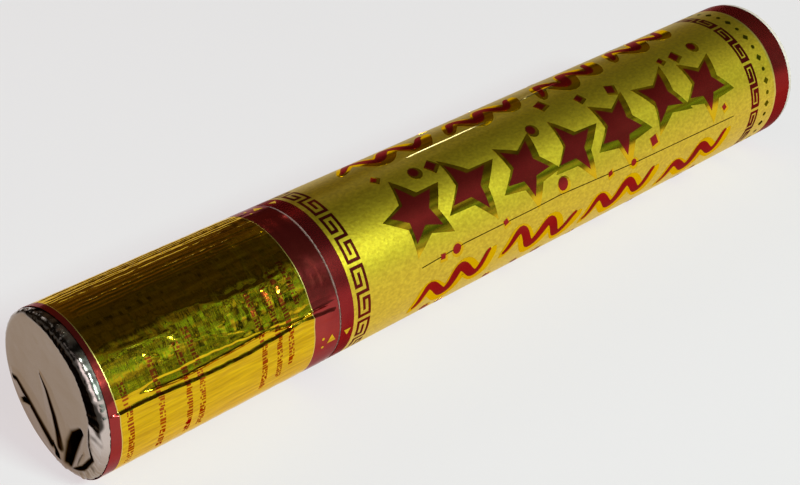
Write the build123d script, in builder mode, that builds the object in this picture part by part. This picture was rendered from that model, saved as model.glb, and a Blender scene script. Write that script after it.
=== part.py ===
from build123d import *
import math
import os

# Twist-release confetti popper, lying on its side.
# A short handle tube turns on a sleeve inside a long barrel tube. The handle holds a bottle of
# compressed air, whose stopper is lifted by a cross pin when the handle is twisted. The air then
# drives a wad, the confetti and the muzzle disc out of the barrel.
# All sizes are in millimetres. A station is a distance from the base face along the tube's axis.

# Overall sizes
total_length = 297.0
outer_diameter = 50.0
handle_length = 79.6
seam_gap = 0.4

# Cardboard tubes and printed film
film_thickness = 0.2
tube_wall = 2.4
base_film_setback = 2.6
muzzle_film_setback = 2.3
muzzle_rounding = 1.0

# Foil over the base end
foil_thickness = 0.15
foil_skirt_length = 10.0
rim_rounding = 1.8
base_recess = 0.8
recess_slope_width = 1.2
base_disc_thickness = 2.5

# Sleeve that carries the handle on the barrel
sleeve_wall = 1.5
sleeve_engagement = 17.0
sleeve_shoulder_gap = 2.4

# Air bottle
bottle_wall = 2.3
bottle_foot_height = 2.0
bottle_floor = 2.5
shoulder_height = 8.0
shoulder_rounding = 3.0
thrust_flange_height = 3.0
thrust_flange_width = 3.5
neck_bore_radius = 7.6
neck_wall = 2.4
neck_below_seam = 2.6
snap_flange_height = 3.6
snap_flange_land = 1.2
snap_flange_width = 1.2
slot_end_relief = 0.05
valve_hole_radius = 3.0
valve_head_width = 2.0
valve_head_thickness = 1.4
valve_nose_length = 4.0
valve_nose_taper = 1.4

# Twist release
twist_angle = 90.0
stopper_lift = 4.0
pin_radius = 1.5
pin_overhang = 0.6
pin_chamfer = 0.3
stopper_below_seal = 1.6
stopper_above_pin = 6.0
stopper_dish_depth = 1.0
stopper_dish_wall = 1.6
ring_section_radius = 1.2
seal_overlap = 1.2
collar_hub_wall = 2.4
collar_rim_wall = 2.2
spoke_count = 4
spoke_width = 4.0
window_margin = 2.2

# Charge in the barrel
wad_thickness = 5.0
wad_chamfer = 0.6
muzzle_recess = 3.0
muzzle_disc_thickness = 1.5
tier_count = 3
tier_gap = 0.8
slip_width = 16.0
leaf_thickness = 2.6
leaf_gap = 0.1
bundle_gap = 0.6

# Clearances
glue_gap = 0.1
turning_clearance = 0.2
axial_play = 0.4
neck_clearance = 0.3
pin_clearance = 0.3
press_clearance = 0.02
stopper_clearance = 0.2
seal_clearance = 0.05
groove_clearance = 0.2
charge_clearance = 0.4
muzzle_disc_clearance = 0.2
seat_clearance = 0.1

# Radii, from the outside in
outer_radius = outer_diameter / 2
tube_radius = outer_radius - film_thickness
tube_bore_radius = tube_radius - tube_wall
sleeve_radius = tube_bore_radius - turning_clearance
sleeve_bore_radius = sleeve_radius - sleeve_wall
bottle_radius = tube_bore_radius - glue_gap
bottle_inner_radius = bottle_radius - bottle_wall
collar_radius = sleeve_bore_radius - glue_gap
neck_radius = neck_bore_radius + neck_wall
snap_flange_radius = neck_radius + snap_flange_width
thrust_flange_radius = neck_radius + thrust_flange_width
hub_bore_radius = neck_radius + neck_clearance
hub_radius = hub_bore_radius + collar_hub_wall
stopper_radius = neck_bore_radius - stopper_clearance
charge_radius = tube_bore_radius - charge_clearance

# Stations along the base end
disc_station = base_recess + foil_thickness
bottle_station = disc_station + base_disc_thickness + glue_gap
floor_station = bottle_station + bottle_foot_height
floor_top = floor_station + bottle_floor

# Stations of the release, measured down from the seam
slot_half_width = pin_radius + pin_clearance
window_length = stopper_lift + 2 * slot_half_width
collar_length = window_length + 2 * window_margin
neck_top = handle_length - neck_below_seam
snap_flange_station = neck_top - snap_flange_height
collar_station = snap_flange_station - axial_play - collar_length
thrust_flange_top = collar_station - axial_play
thrust_flange_station = thrust_flange_top - thrust_flange_height
shoulder_station = thrust_flange_station - shoulder_height
window_centre = collar_station + collar_length / 2
pin_station = window_centre - stopper_lift / 2
ring_station = pin_station - slot_half_width - seal_overlap - ring_section_radius

# Stations along the barrel
barrel_station = handle_length + seam_gap
sleeve_station = shoulder_station + sleeve_shoulder_gap
sleeve_end = barrel_station + sleeve_engagement
wad_station = sleeve_end + seat_clearance
confetti_station = wad_station + wad_thickness + seat_clearance
muzzle_disc_station = total_length - muzzle_recess - muzzle_disc_thickness
confetti_end = muzzle_disc_station - seat_clearance

# Planes and axis of the lying tube: the origin is on the table, below the middle of the tube.
base_centre = Vector(-total_length / 2, 0, outer_radius)
tube_section = Plane(origin=base_centre, x_dir=(1, 0, 0), z_dir=(0, -1, 0))
tube_axis = Axis(base_centre, (1, 0, 0))


def cross_section(station):
    """Plane square to the tube at a station, with +Y to the right and +Z up."""
    return Plane(origin=base_centre + Vector(station, 0, 0), x_dir=(0, 1, 0), z_dir=(1, 0, 0))


def pin_plane(station):
    """Level plane through the axis, whose normal is the cross pin's direction."""
    return Plane(origin=base_centre + Vector(station, 0, 0), x_dir=(1, 0, 0), z_dir=(0, 0, 1))


def keep(piece, name):
    """Labels a finished piece and writes it as its own STEP file."""
    piece.part.label = name
    export_step(piece.part, f"parts/{name}.step")


os.makedirs("parts", exist_ok=True)

# Handle tube: wound cardboard, rounded at the base and let in by the foil's thickness there
let_in_radius = tube_radius - foil_thickness
base_rounding = rim_rounding - foil_thickness
rim_centre = (rim_rounding, tube_radius - rim_rounding)
with BuildPart() as handle_tube:
    with BuildSketch(tube_section):
        with BuildLine():
            Polyline(
                (foil_thickness, rim_centre[1]),
                (foil_thickness, tube_bore_radius),
                (handle_length, tube_bore_radius),
                (handle_length, tube_radius),
                (foil_skirt_length, tube_radius),
                (foil_skirt_length, let_in_radius),
                (rim_rounding, let_in_radius),
            )
            CenterArc(rim_centre, base_rounding, 90, 90)
        make_face()
    revolve(axis=tube_axis)
keep(handle_tube, "handle_tube")

# Printed film round the handle
with BuildPart() as handle_wrap:
    with BuildSketch(tube_section):
        with BuildLine():
            Polyline(
                (base_film_setback, tube_radius),
                (handle_length, tube_radius),
                (handle_length, outer_radius),
                (base_film_setback, outer_radius),
                close=True,
            )
        make_face()
    revolve(axis=tube_axis)
keep(handle_wrap, "handle_wrap")

# Foil drawn over the base end, down into its recess and up under the film
with BuildPart() as base_foil:
    with BuildSketch(tube_section):
        with BuildLine():
            CenterArc(rim_centre, rim_rounding, 90, 90)
            Polyline(
                (0, rim_centre[1]),
                (0, tube_bore_radius),
                (base_recess, tube_bore_radius - recess_slope_width),
                (base_recess, 0),
                (disc_station, 0),
                (disc_station, tube_bore_radius - recess_slope_width),
                (foil_thickness, tube_bore_radius),
                (foil_thickness, rim_centre[1]),
            )
            CenterArc(rim_centre, base_rounding, 90, 90)
            Polyline(
                (rim_rounding, let_in_radius),
                (foil_skirt_length, let_in_radius),
                (foil_skirt_length, tube_radius),
                (rim_rounding, tube_radius),
            )
        make_face()
    revolve(axis=tube_axis)
keep(base_foil, "base_foil")

# Greyboard disc that closes the base behind the foil
with BuildPart() as base_disc:
    with BuildSketch(cross_section(disc_station)):
        Circle(bottle_radius)
    extrude(amount=base_disc_thickness)
keep(base_disc, "base_disc")

# Helical slot in the bottle's neck: as the handle turns, it lifts the pin that stands in it.
# The helix starts straight above the axis, where the pin stands at rest.
slot_lead = stopper_lift * 360 / twist_angle
with BuildPart() as neck_slot:
    with BuildLine() as slot_path:
        Helix(
            pitch=slot_lead,
            height=stopper_lift,
            radius=neck_bore_radius + neck_wall / 2,
            center=base_centre + Vector(pin_station, 0, 0),
            direction=(1, 0, 0),
            lefthand=True,
        )
    slot_start = Plane(origin=slot_path.line @ 0, x_dir=(0, 0, 1), z_dir=slot_path.line % 0)
    with BuildSketch(slot_start):
        Rectangle(2 * neck_wall, 2 * slot_half_width)
    sweep(path=slot_path.line, is_frenet=True)

# Air bottle: moulded, with a foot ring, a cone to the neck, and two flanges that trap the collar
with BuildPart() as air_bottle:
    with BuildSketch(tube_section):
        with BuildLine():
            corners = [
                ((bottle_station, bottle_inner_radius), 0),
                ((bottle_station, bottle_radius), bottle_wall / 3),
                ((shoulder_station, bottle_radius), shoulder_rounding),
                ((thrust_flange_station, thrust_flange_radius), 0),
                ((thrust_flange_top, thrust_flange_radius), 0),
                ((thrust_flange_top, neck_radius), 0),
                ((snap_flange_station, neck_radius), 0),
                ((snap_flange_station, snap_flange_radius), 0),
                ((snap_flange_station + snap_flange_land, snap_flange_radius), 0),
                ((neck_top, neck_radius), 0),
                ((neck_top, neck_bore_radius), 0),
                ((thrust_flange_station, neck_bore_radius), 0),
                ((shoulder_station, bottle_inner_radius), shoulder_rounding),
                ((floor_top, bottle_inner_radius), bottle_wall),
                ((floor_top, valve_hole_radius), 0),
                ((floor_station, valve_hole_radius), 0),
                ((floor_station, bottle_inner_radius), 0),
            ]
            FilletPolyline(
                [point for point, rounding in corners],
                radius=[rounding for point, rounding in corners],
                close=True,
            )
        make_face()
    revolve(axis=tube_axis)
    add(neck_slot.part, mode=Mode.SUBTRACT)
    add(neck_slot.part.rotate(tube_axis, 180), mode=Mode.SUBTRACT)
    for turned, lifted in ((0, 0), (twist_angle, stopper_lift)):
        with BuildSketch(pin_plane(pin_station + lifted).rotated((-turned, 0, 0))):
            Circle(slot_half_width + slot_end_relief)
        extrude(amount=outer_radius, both=True, mode=Mode.SUBTRACT)
keep(air_bottle, "air_bottle")

# Rubber valve in the bottle's floor, through which it was filled
valve_radius = valve_hole_radius - press_clearance
valve_head_radius = valve_hole_radius + valve_head_width
with BuildPart() as filling_valve:
    with BuildSketch(tube_section):
        with BuildLine():
            Polyline(
                (floor_station - valve_head_thickness, 0),
                (floor_station - valve_head_thickness, valve_head_radius),
                (floor_station, valve_head_radius),
                (floor_station, valve_radius),
                (floor_top, valve_radius),
                (floor_top, valve_head_radius),
                (floor_top + valve_head_thickness, valve_head_radius),
                (floor_top + valve_nose_length, valve_hole_radius - valve_nose_taper),
                (floor_top + valve_nose_length, 0),
                close=True,
            )
        make_face()
    revolve(axis=tube_axis)
keep(filling_valve, "filling_valve")

# Barrel tube: wound cardboard, with its bare outer edge eased at the muzzle
with BuildPart() as barrel_tube:
    with BuildSketch(tube_section):
        with BuildLine():
            FilletPolyline(
                (barrel_station, tube_bore_radius),
                (total_length, tube_bore_radius),
                (total_length, tube_radius),
                (barrel_station, tube_radius),
                radius=[0, 0, muzzle_rounding, 0],
                close=True,
            )
        make_face()
    revolve(axis=tube_axis)
keep(barrel_tube, "barrel_tube")

# Printed film round the barrel
with BuildPart() as barrel_wrap:
    with BuildSketch(tube_section):
        with BuildLine():
            Polyline(
                (barrel_station, tube_radius),
                (total_length - muzzle_film_setback, tube_radius),
                (total_length - muzzle_film_setback, outer_radius),
                (barrel_station, outer_radius),
                close=True,
            )
        make_face()
    revolve(axis=tube_axis)
keep(barrel_wrap, "barrel_wrap")

# Cardboard sleeve glued in the barrel, on which the handle turns
with BuildPart() as coupler_sleeve:
    with BuildSketch(cross_section(sleeve_station)):
        Circle(sleeve_radius)
        Circle(sleeve_bore_radius, mode=Mode.SUBTRACT)
    extrude(amount=sleeve_end - sleeve_station)
keep(coupler_sleeve, "coupler_sleeve")

# Collar glued in the sleeve: its hub holds the bottle's neck, and its windows stop the pin turning
spoke_middle_radius = (hub_radius + collar_radius - collar_rim_wall) / 2
spoke_length = collar_radius - hub_radius
with BuildPart() as key_collar:
    with BuildSketch(cross_section(collar_station)):
        Circle(collar_radius)
        Circle(collar_radius - collar_rim_wall, mode=Mode.SUBTRACT)
        Circle(hub_radius)
        with PolarLocations(spoke_middle_radius, spoke_count, start_angle=180 / spoke_count):
            Rectangle(spoke_length, spoke_width)
        Circle(hub_bore_radius, mode=Mode.SUBTRACT)
    extrude(amount=collar_length)
    with BuildSketch(pin_plane(window_centre)):
        SlotOverall(window_length, 2 * slot_half_width)
    extrude(amount=outer_radius, both=True, mode=Mode.SUBTRACT)
keep(key_collar, "key_collar")

# Stopper in the neck, with a groove for its ring and a hole for the pin
ring_centre_radius = neck_bore_radius - seal_clearance - ring_section_radius
groove_radius = ring_centre_radius - ring_section_radius
groove_half_width = ring_section_radius + groove_clearance
stopper_station = ring_station - groove_half_width - stopper_below_seal
stopper_top = pin_station + stopper_above_pin
with BuildPart() as release_stopper:
    with BuildSketch(tube_section):
        with BuildLine():
            Polyline(
                (stopper_station, 0),
                (stopper_station, groove_radius),
                (ring_station - groove_half_width, stopper_radius),
                (ring_station - groove_half_width, groove_radius),
                (ring_station + groove_half_width, groove_radius),
                (ring_station + groove_half_width, stopper_radius),
                (stopper_top, stopper_radius),
                (stopper_top, stopper_radius - stopper_dish_wall),
                (stopper_top - stopper_dish_depth, stopper_radius - stopper_dish_wall),
                (stopper_top - stopper_dish_depth, 0),
                close=True,
            )
        make_face()
    revolve(axis=tube_axis)
    with BuildSketch(pin_plane(pin_station)):
        Circle(pin_radius + press_clearance)
    extrude(amount=outer_radius, both=True, mode=Mode.SUBTRACT)
keep(release_stopper, "release_stopper")

# Rubber ring that seals the stopper in the neck
with BuildPart() as stopper_ring:
    with BuildSketch(tube_section):
        with Locations((ring_station, ring_centre_radius)):
            Circle(ring_section_radius)
    revolve(axis=tube_axis)
keep(stopper_ring, "stopper_ring")

# Steel pin through the stopper, both neck slots and both collar windows
with BuildPart() as cross_pin:
    with BuildSketch(pin_plane(pin_station)):
        Circle(pin_radius)
    extrude(amount=hub_radius + pin_overhang, both=True)
    chamfer(cross_pin.edges().filter_by(GeomType.CIRCLE), length=pin_chamfer)
keep(cross_pin, "cross_pin")

# Felt wad that seats on the sleeve's end
with BuildPart() as wad:
    with BuildSketch(cross_section(wad_station)):
        Circle(charge_radius)
    extrude(amount=wad_thickness)
    chamfer(wad.edges().filter_by(GeomType.CIRCLE), length=wad_chamfer)
keep(wad, "wad")

# Card disc that closes the muzzle
with BuildPart() as muzzle_disc:
    with BuildSketch(cross_section(muzzle_disc_station)):
        Circle(tube_bore_radius - muzzle_disc_clearance)
    extrude(amount=muzzle_disc_thickness)
keep(muzzle_disc, "muzzle_disc")

# Confetti: tiers of four bundles, two beside each other and one lying on each end of those.
# A bundle is a stack of separate leaves, as many as the bore has room for.
leaf_pitch = leaf_thickness + leaf_gap
column_offset = (slip_width + bundle_gap) / 2
column_room = 2 * math.sqrt(charge_radius**2 - (column_offset + slip_width / 2) ** 2)
column_leaves = math.floor((column_room + leaf_gap) / leaf_pitch)
column_height = column_leaves * leaf_pitch - leaf_gap
cap_station = column_height / 2 + bundle_gap
cap_room = math.sqrt(charge_radius**2 - (slip_width / 2) ** 2) - cap_station
cap_leaves = max(1, math.floor((cap_room + leaf_gap) / leaf_pitch))
cap_offset = cap_station + (cap_leaves * leaf_pitch - leaf_gap) / 2
tier_pitch = (confetti_end - confetti_station + tier_gap) / tier_count
bundles = {
    "left": ((-column_offset, 0), column_leaves),
    "right": ((column_offset, 0), column_leaves),
    "top": ((0, cap_offset), cap_leaves),
    "bottom": ((0, -cap_offset), cap_leaves),
}
for tier in range(tier_count):
    for place, (centre, leaves) in bundles.items():
        with BuildPart() as confetti_bundle:
            with BuildSketch(cross_section(confetti_station + tier * tier_pitch)):
                with Locations(centre):
                    with GridLocations(slip_width, leaf_pitch, 1, leaves):
                        Rectangle(slip_width, leaf_thickness)
            extrude(amount=tier_pitch - tier_gap)
        keep(confetti_bundle, f"confetti_{tier + 1}_{place}")
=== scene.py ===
"""Looks of a twist-release confetti popper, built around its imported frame.

The tube lies along X, with its foil-covered base at the low end and its muzzle at the high end.
Sizes in the classes are millimetres and angles are degrees. A station is a distance along the tube
from its base. An angle round the tube is 0 at the side that faces -Y and 90 at the top.
"""

import logging
import math
import random
from collections.abc import Callable, Sequence
from dataclasses import dataclass, field
from enum import Enum
from functools import partial

import bmesh
import bpy
from mathutils import Matrix, Vector, noise


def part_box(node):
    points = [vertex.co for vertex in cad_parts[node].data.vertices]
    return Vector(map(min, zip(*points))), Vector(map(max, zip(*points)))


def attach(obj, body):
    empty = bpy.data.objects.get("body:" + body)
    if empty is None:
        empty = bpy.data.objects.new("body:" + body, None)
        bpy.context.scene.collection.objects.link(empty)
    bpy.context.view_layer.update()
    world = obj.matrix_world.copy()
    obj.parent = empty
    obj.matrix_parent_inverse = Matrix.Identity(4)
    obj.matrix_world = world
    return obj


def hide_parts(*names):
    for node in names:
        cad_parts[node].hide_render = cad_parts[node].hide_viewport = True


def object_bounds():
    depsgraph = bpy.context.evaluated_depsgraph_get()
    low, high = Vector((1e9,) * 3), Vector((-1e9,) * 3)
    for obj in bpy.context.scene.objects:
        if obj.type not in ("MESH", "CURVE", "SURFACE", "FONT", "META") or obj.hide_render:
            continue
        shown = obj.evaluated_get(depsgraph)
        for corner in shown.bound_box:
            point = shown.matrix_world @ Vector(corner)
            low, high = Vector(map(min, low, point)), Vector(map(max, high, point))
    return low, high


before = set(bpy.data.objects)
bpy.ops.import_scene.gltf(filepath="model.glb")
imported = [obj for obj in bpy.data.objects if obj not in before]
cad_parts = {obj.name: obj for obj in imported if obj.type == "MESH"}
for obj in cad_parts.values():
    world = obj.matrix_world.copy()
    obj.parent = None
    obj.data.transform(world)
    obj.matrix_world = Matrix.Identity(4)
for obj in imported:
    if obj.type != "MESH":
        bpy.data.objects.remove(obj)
CAD_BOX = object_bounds()

MM = 0.001
FULL_TURN = 360.0
SHARP_ANGLE = 35.0
WELD = 1e-4
CUT_SNAP = 1e-5
FILM_CLEARANCE = 0.01
INK_THICKNESS = 0.02
FOLD_SHADE = "fold_shade"
RIM_SHARE = "rim_share"
LOG = logging.getLogger("popper")

# A colour mix's inputs go by number, because its other kinds of input have the same names.
FACTOR, FIRST, SECOND = 0, 6, 7

Range = tuple[float, float]
Triple = tuple[float, float, float]
Colour = tuple[float, float, float, float]
Path = tuple[Range, ...]
Socket = bpy.types.NodeSocket
AddNode = Callable[..., bpy.types.Node]


def linear(hex_colour: str) -> Colour:
    """Turn an sRGB hex colour into linear RGBA.

    Args:
        hex_colour: six hex digits, without a leading mark.

    Returns:
        The linear colour, with full alpha.
    """
    channels = [int(hex_colour[place:place + 2], 16) / 255 for place in (0, 2, 4)]
    straight = [c / 12.92 if c <= 0.04045 else ((c + 0.055) / 1.055) ** 2.4 for c in channels]
    return (*straight, 1.0)


def connect(tree: bpy.types.NodeTree, node: bpy.types.Node, inputs: dict) -> None:
    """Set a node's inputs.

    Args:
        tree: the node tree.
        node: the node.
        inputs: a value, a socket or a node for each input, by name or number. A node stands for its
            first output in use.
    """
    for key, value in inputs.items():
        if isinstance(value, bpy.types.Node):
            value = next(socket for socket in value.outputs if socket.enabled)
        if isinstance(value, Socket):
            tree.links.new(value, node.inputs[key])
        else:
            node.inputs[key].default_value = value


def add_node(tree: bpy.types.NodeTree, kind: str, inputs: dict | None = None,
             **settings: object) -> bpy.types.Node:
    """Add one node to a tree, with its settings, values and links.

    Args:
        tree: the node tree.
        kind: the node's type name, without its ShaderNode.
        inputs: what each input gets.
        settings: attributes of the node.

    Returns:
        The new node.
    """
    node = tree.nodes.new("ShaderNode" + kind)
    for name, value in settings.items():
        setattr(node, name, value)
    connect(tree, node, inputs or {})
    return node


def cells_per_metre(width: float) -> float:
    """Give the texture scale whose features are so many millimetres wide."""
    return 1 / (width * MM)


def between(path: Path, place: float) -> float:
    """Read a path of (place, value) points at one place, with straight runs between the points.

    Args:
        path: points in rising order of place.
        place: where to read it; past an end, the end's value holds.

    Returns:
        The value there.
    """
    if place <= path[0][0]:
        return path[0][1]
    for (start, low), (end, high) in zip(path, path[1:]):
        if place <= end:
            return low + (high - low) * (place - start) / (end - start)
    return path[-1][1]


def smooth_step(low: float, high: float, value: float) -> float:
    """Rise smoothly from 0 at low to 1 at high."""
    share = min(1.0, max(0.0, (value - low) / (high - low)))
    return share * share * (3 - 2 * share)


def wrapped(angle: float) -> float:
    """Bring an angle into the half turn either side of zero."""
    return (angle + FULL_TURN / 2) % FULL_TURN - FULL_TURN / 2


class Finish:
    """What every finish shares: a material that starts from one Principled shader."""

    name: str

    def material(self) -> bpy.types.Material:
        """Build the finish's material.

        Returns:
            The material, with the finish's surface on its shader.
        """
        material = bpy.data.materials.new(self.name)
        material.use_nodes = True
        tree = material.node_tree
        add = partial(add_node, tree)
        connect(tree, tree.nodes["Principled BSDF"], self.surface(add))
        return material

    def surface(self, add: AddNode) -> dict:
        """Draw the finish's patterns.

        Args:
            add: adds a node to the material.

        Returns:
            What each of the shader's inputs gets.
        """
        raise NotImplementedError


@dataclass(frozen=True)
class MetallisedFilm(Finish):
    """Polyester film with a vapour-coated aluminium face under a transparent coloured lacquer.

    A metal's reflections in the lacquer's colour, broken by crinkles where the film is loose and
    blurred by a fine coating grain where it is satin. Pigment in an ink makes it less of a metal.
    A stretch below 1 draws a pattern out along the tube, and a wrap below 1 draws it out round it.
    """

    name: str
    colour: str
    deep_colour: str
    edge_colour: str
    roughness: float
    haze: float = 0.05
    crinkle_width: float = 7.0
    crinkle_depth: float = 0.02
    crinkle_wrap: float = 1.0
    grain_width: float = 0.45
    grain_depth: float = 0.004
    grain_stretch: float = 1.0
    patch_width: float = 14.0
    patch_stretch: float = 1.0
    metallic: float = 1.0
    coat: float = 0.0
    coat_roughness: float = 0.3

    def surface(self, add: AddNode) -> dict:
        """Draw the lacquer's patches, the coating's grain and the film's crinkles.

        Args:
            add: adds a node to the material.

        Returns:
            What each of the shader's inputs gets.
        """
        coords = add("TexCoord").outputs["Object"]
        drawn = add("Mapping", {"Vector": coords, "Scale": (self.patch_stretch, 1.0, 1.0)})
        patches = add("TexNoise", {
            "Vector": drawn, "Scale": cells_per_metre(self.patch_width), "Detail": 3.0})
        tone = add("MapRange", {"Value": patches, "From Min": 0.3, "From Max": 0.7})
        tint = add("Mix", {FACTOR: tone, FIRST: linear(self.colour), SECOND: linear(self.deep_colour)},
                   data_type="RGBA")
        along = add("Mapping", {"Vector": coords, "Scale": (self.grain_stretch, 1.0, 1.0)})
        grain = add("TexNoise", {
            "Vector": along, "Scale": cells_per_metre(self.grain_width), "Detail": 2.0})
        dull = add("MapRange", {"Value": grain, "To Min": self.roughness - self.haze,
                                "To Max": self.roughness + self.haze})
        around = add("Mapping", {"Vector": coords, "Scale": (1.0, self.crinkle_wrap, self.crinkle_wrap)})
        crinkle = add("TexNoise", {
            "Vector": around, "Scale": cells_per_metre(self.crinkle_width), "Detail": 3.0,
            "Roughness": 0.5, "Distortion": 0.4})
        folds = add("Bump", {"Strength": 1.0, "Distance": self.crinkle_depth * MM, "Height": crinkle})
        fine = add("Bump", {"Strength": 1.0, "Distance": self.grain_depth * MM, "Height": grain,
                            "Normal": folds})
        return {"Base Color": tint, "Roughness": dull, "Normal": fine, "Metallic": self.metallic,
                "Specular Tint": linear(self.edge_colour), "Coat Weight": self.coat,
                "Coat Roughness": self.coat_roughness}


@dataclass(frozen=True)
class AluminiumFoil(Finish):
    """Thin soft foil drawn over an edge by hand: dull where it lies flat and bright where it crumples.

    The foil's own attributes say where its rim is, and where painted shade darkens its folds and its rim.
    """

    name: str
    face_colour: str
    rim_colour: str
    fold_shade_colour: str
    roughness: float
    glance_colour: str = "ffffff"
    crease_width: float = 3.0
    crease_depth: float = 0.03
    rolling_width: float = 0.35
    rolling_stretch: float = 0.12
    rolling_swing: Range = (-0.05, 0.08)

    def surface(self, add: AddNode) -> dict:
        """Draw the creases, the rolling lines, the bright rim and the painted shade of the folds.

        Args:
            add: adds a node to the material.

        Returns:
            What each of the shader's inputs gets.
        """
        coords = add("TexCoord").outputs["Object"]
        creases = add("TexNoise", {
            "Vector": coords, "Scale": cells_per_metre(self.crease_width), "Detail": 3.0})
        rolled = add("Mapping", {"Vector": coords, "Scale": (1.0, self.rolling_stretch, 1.0)})
        lines = add("TexNoise", {
            "Vector": rolled, "Scale": cells_per_metre(self.rolling_width), "Detail": 2.0})
        at_rim = add("Attribute", attribute_name=RIM_SHARE).outputs["Fac"]
        # Painted shade: the fold shade darkens the colour and the glancing reflection in the folds and on
        # the rim's streaks.
        painted_fold_shade = add("Attribute", attribute_name=FOLD_SHADE).outputs["Fac"]
        dark = linear(self.fold_shade_colour)
        tint = add("Mix", {FACTOR: at_rim, FIRST: linear(self.face_colour),
                           SECOND: linear(self.rim_colour)}, data_type="RGBA")
        shaded = add("Mix", {FACTOR: painted_fold_shade, FIRST: tint, SECOND: dark}, data_type="RGBA")
        glance = add("Mix", {FACTOR: painted_fold_shade, FIRST: linear(self.glance_colour), SECOND: dark},
                     data_type="RGBA")
        low, high = self.rolling_swing
        dull = add("MapRange", {
            "Value": lines, "To Min": self.roughness + low, "To Max": self.roughness + high})
        bump = add("Bump", {"Strength": 1.0, "Distance": self.crease_depth * MM, "Height": creases})
        return {"Base Color": shaded, "Specular Tint": glance, "Roughness": dull, "Normal": bump,
                "Metallic": 1.0}


@dataclass(frozen=True)
class PressedFibre(Finish):
    """Paper board or felt: matt, with fibres that vary its tone and roughen its face."""

    name: str
    colour: str
    fibre_colour: str
    fibre_width: float
    fibre_depth: float
    stretch: Triple = (1.0, 1.0, 1.0)
    speck_width: float = 1.6
    roughness: float = 0.85

    def surface(self, add: AddNode) -> dict:
        """Draw the fibres and the specks among them.

        Args:
            add: adds a node to the material.

        Returns:
            What each of the shader's inputs gets.
        """
        coords = add("TexCoord").outputs["Object"]
        laid = add("Mapping", {"Vector": coords, "Scale": self.stretch})
        fibres = add("TexNoise", {
            "Vector": laid, "Scale": cells_per_metre(self.fibre_width), "Detail": 4.0})
        specks = add("TexNoise", {
            "Vector": coords, "Scale": cells_per_metre(self.speck_width), "Detail": 2.0})
        blend = add("Math", {0: fibres, 1: specks}, operation="MULTIPLY")
        tone = add("MapRange", {"Value": blend, "From Min": 0.12, "From Max": 0.4})
        tint = add("Mix", {FACTOR: tone, FIRST: linear(self.colour), SECOND: linear(self.fibre_colour)},
                   data_type="RGBA")
        bump = add("Bump", {"Strength": 0.7, "Distance": self.fibre_depth * MM, "Height": fibres})
        return {"Base Color": tint, "Roughness": self.roughness, "Normal": bump}


@dataclass(frozen=True)
class Moulding(Finish):
    """An injection-moulded plastic or rubber: even colour, faint flow marks, a spark-eroded skin."""

    name: str
    colour: str
    flow_colour: str
    roughness: float
    haze: float = 0.06
    skin_width: float = 0.5
    skin_depth: float = 0.01
    flow_width: float = 9.0

    def surface(self, add: AddNode) -> dict:
        """Draw the flow marks and the skin.

        Args:
            add: adds a node to the material.

        Returns:
            What each of the shader's inputs gets.
        """
        coords = add("TexCoord").outputs["Object"]
        flow = add("TexNoise", {
            "Vector": coords, "Scale": cells_per_metre(self.flow_width), "Detail": 2.0})
        tint = add("Mix", {FACTOR: flow, FIRST: linear(self.colour), SECOND: linear(self.flow_colour)},
                   data_type="RGBA")
        skin = add("TexNoise", {
            "Vector": coords, "Scale": cells_per_metre(self.skin_width), "Detail": 1.0})
        dull = add("MapRange", {"Value": skin, "To Min": self.roughness - self.haze,
                                "To Max": self.roughness + self.haze})
        bump = add("Bump", {"Strength": 0.5, "Distance": self.skin_depth * MM, "Height": skin})
        return {"Base Color": tint, "Roughness": dull, "Normal": bump}


@dataclass(frozen=True)
class DrawnSteel(Finish):
    """Bright steel wire drawn through a die: a metal with fine lines along its length."""

    name: str
    colour: str
    line_colour: str
    line_width: float = 0.12
    line_stretch: float = 0.05

    def surface(self, add: AddNode) -> dict:
        """Draw the lines.

        Args:
            add: adds a node to the material.

        Returns:
            What each of the shader's inputs gets.
        """
        coords = add("TexCoord").outputs["Object"]
        drawn = add("Mapping", {"Vector": coords, "Scale": (1.0, 1.0, self.line_stretch)})
        lines = add("TexNoise", {
            "Vector": drawn, "Scale": cells_per_metre(self.line_width), "Detail": 2.0})
        tint = add("Mix", {FACTOR: lines, FIRST: linear(self.colour), SECOND: linear(self.line_colour)},
                   data_type="RGBA")
        dull = add("MapRange", {"Value": lines, "To Min": 0.2, "To Max": 0.4})
        return {"Base Color": tint, "Roughness": dull, "Metallic": 1.0}


@dataclass(frozen=True)
class MetallicSlips(Finish):
    """A stack of thin slips of metallic paper: a coloured metal face, with lines at the cut edges."""

    name: str
    colour: str
    edge_colour: str
    slip_pitch: float = 0.6
    edge_depth: float = 0.05

    def surface(self, add: AddNode) -> dict:
        """Draw the lines between the slips.

        Args:
            add: adds a node to the material.

        Returns:
            What each of the shader's inputs gets.
        """
        coords = add("TexCoord").outputs["Object"]
        layers = add("TexWave", {
            "Vector": coords, "Scale": cells_per_metre(self.slip_pitch) / (2 * math.pi),
            "Distortion": 0.6, "Detail": 1.0}, bands_direction="DIAGONAL").outputs["Fac"]
        tint = add("Mix", {FACTOR: layers, FIRST: linear(self.edge_colour), SECOND: linear(self.colour)},
                   data_type="RGBA")
        bump = add("Bump", {"Strength": 0.4, "Distance": self.edge_depth * MM, "Height": layers})
        return {"Base Color": tint, "Normal": bump, "Metallic": 0.8, "Roughness": 0.35}


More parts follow.
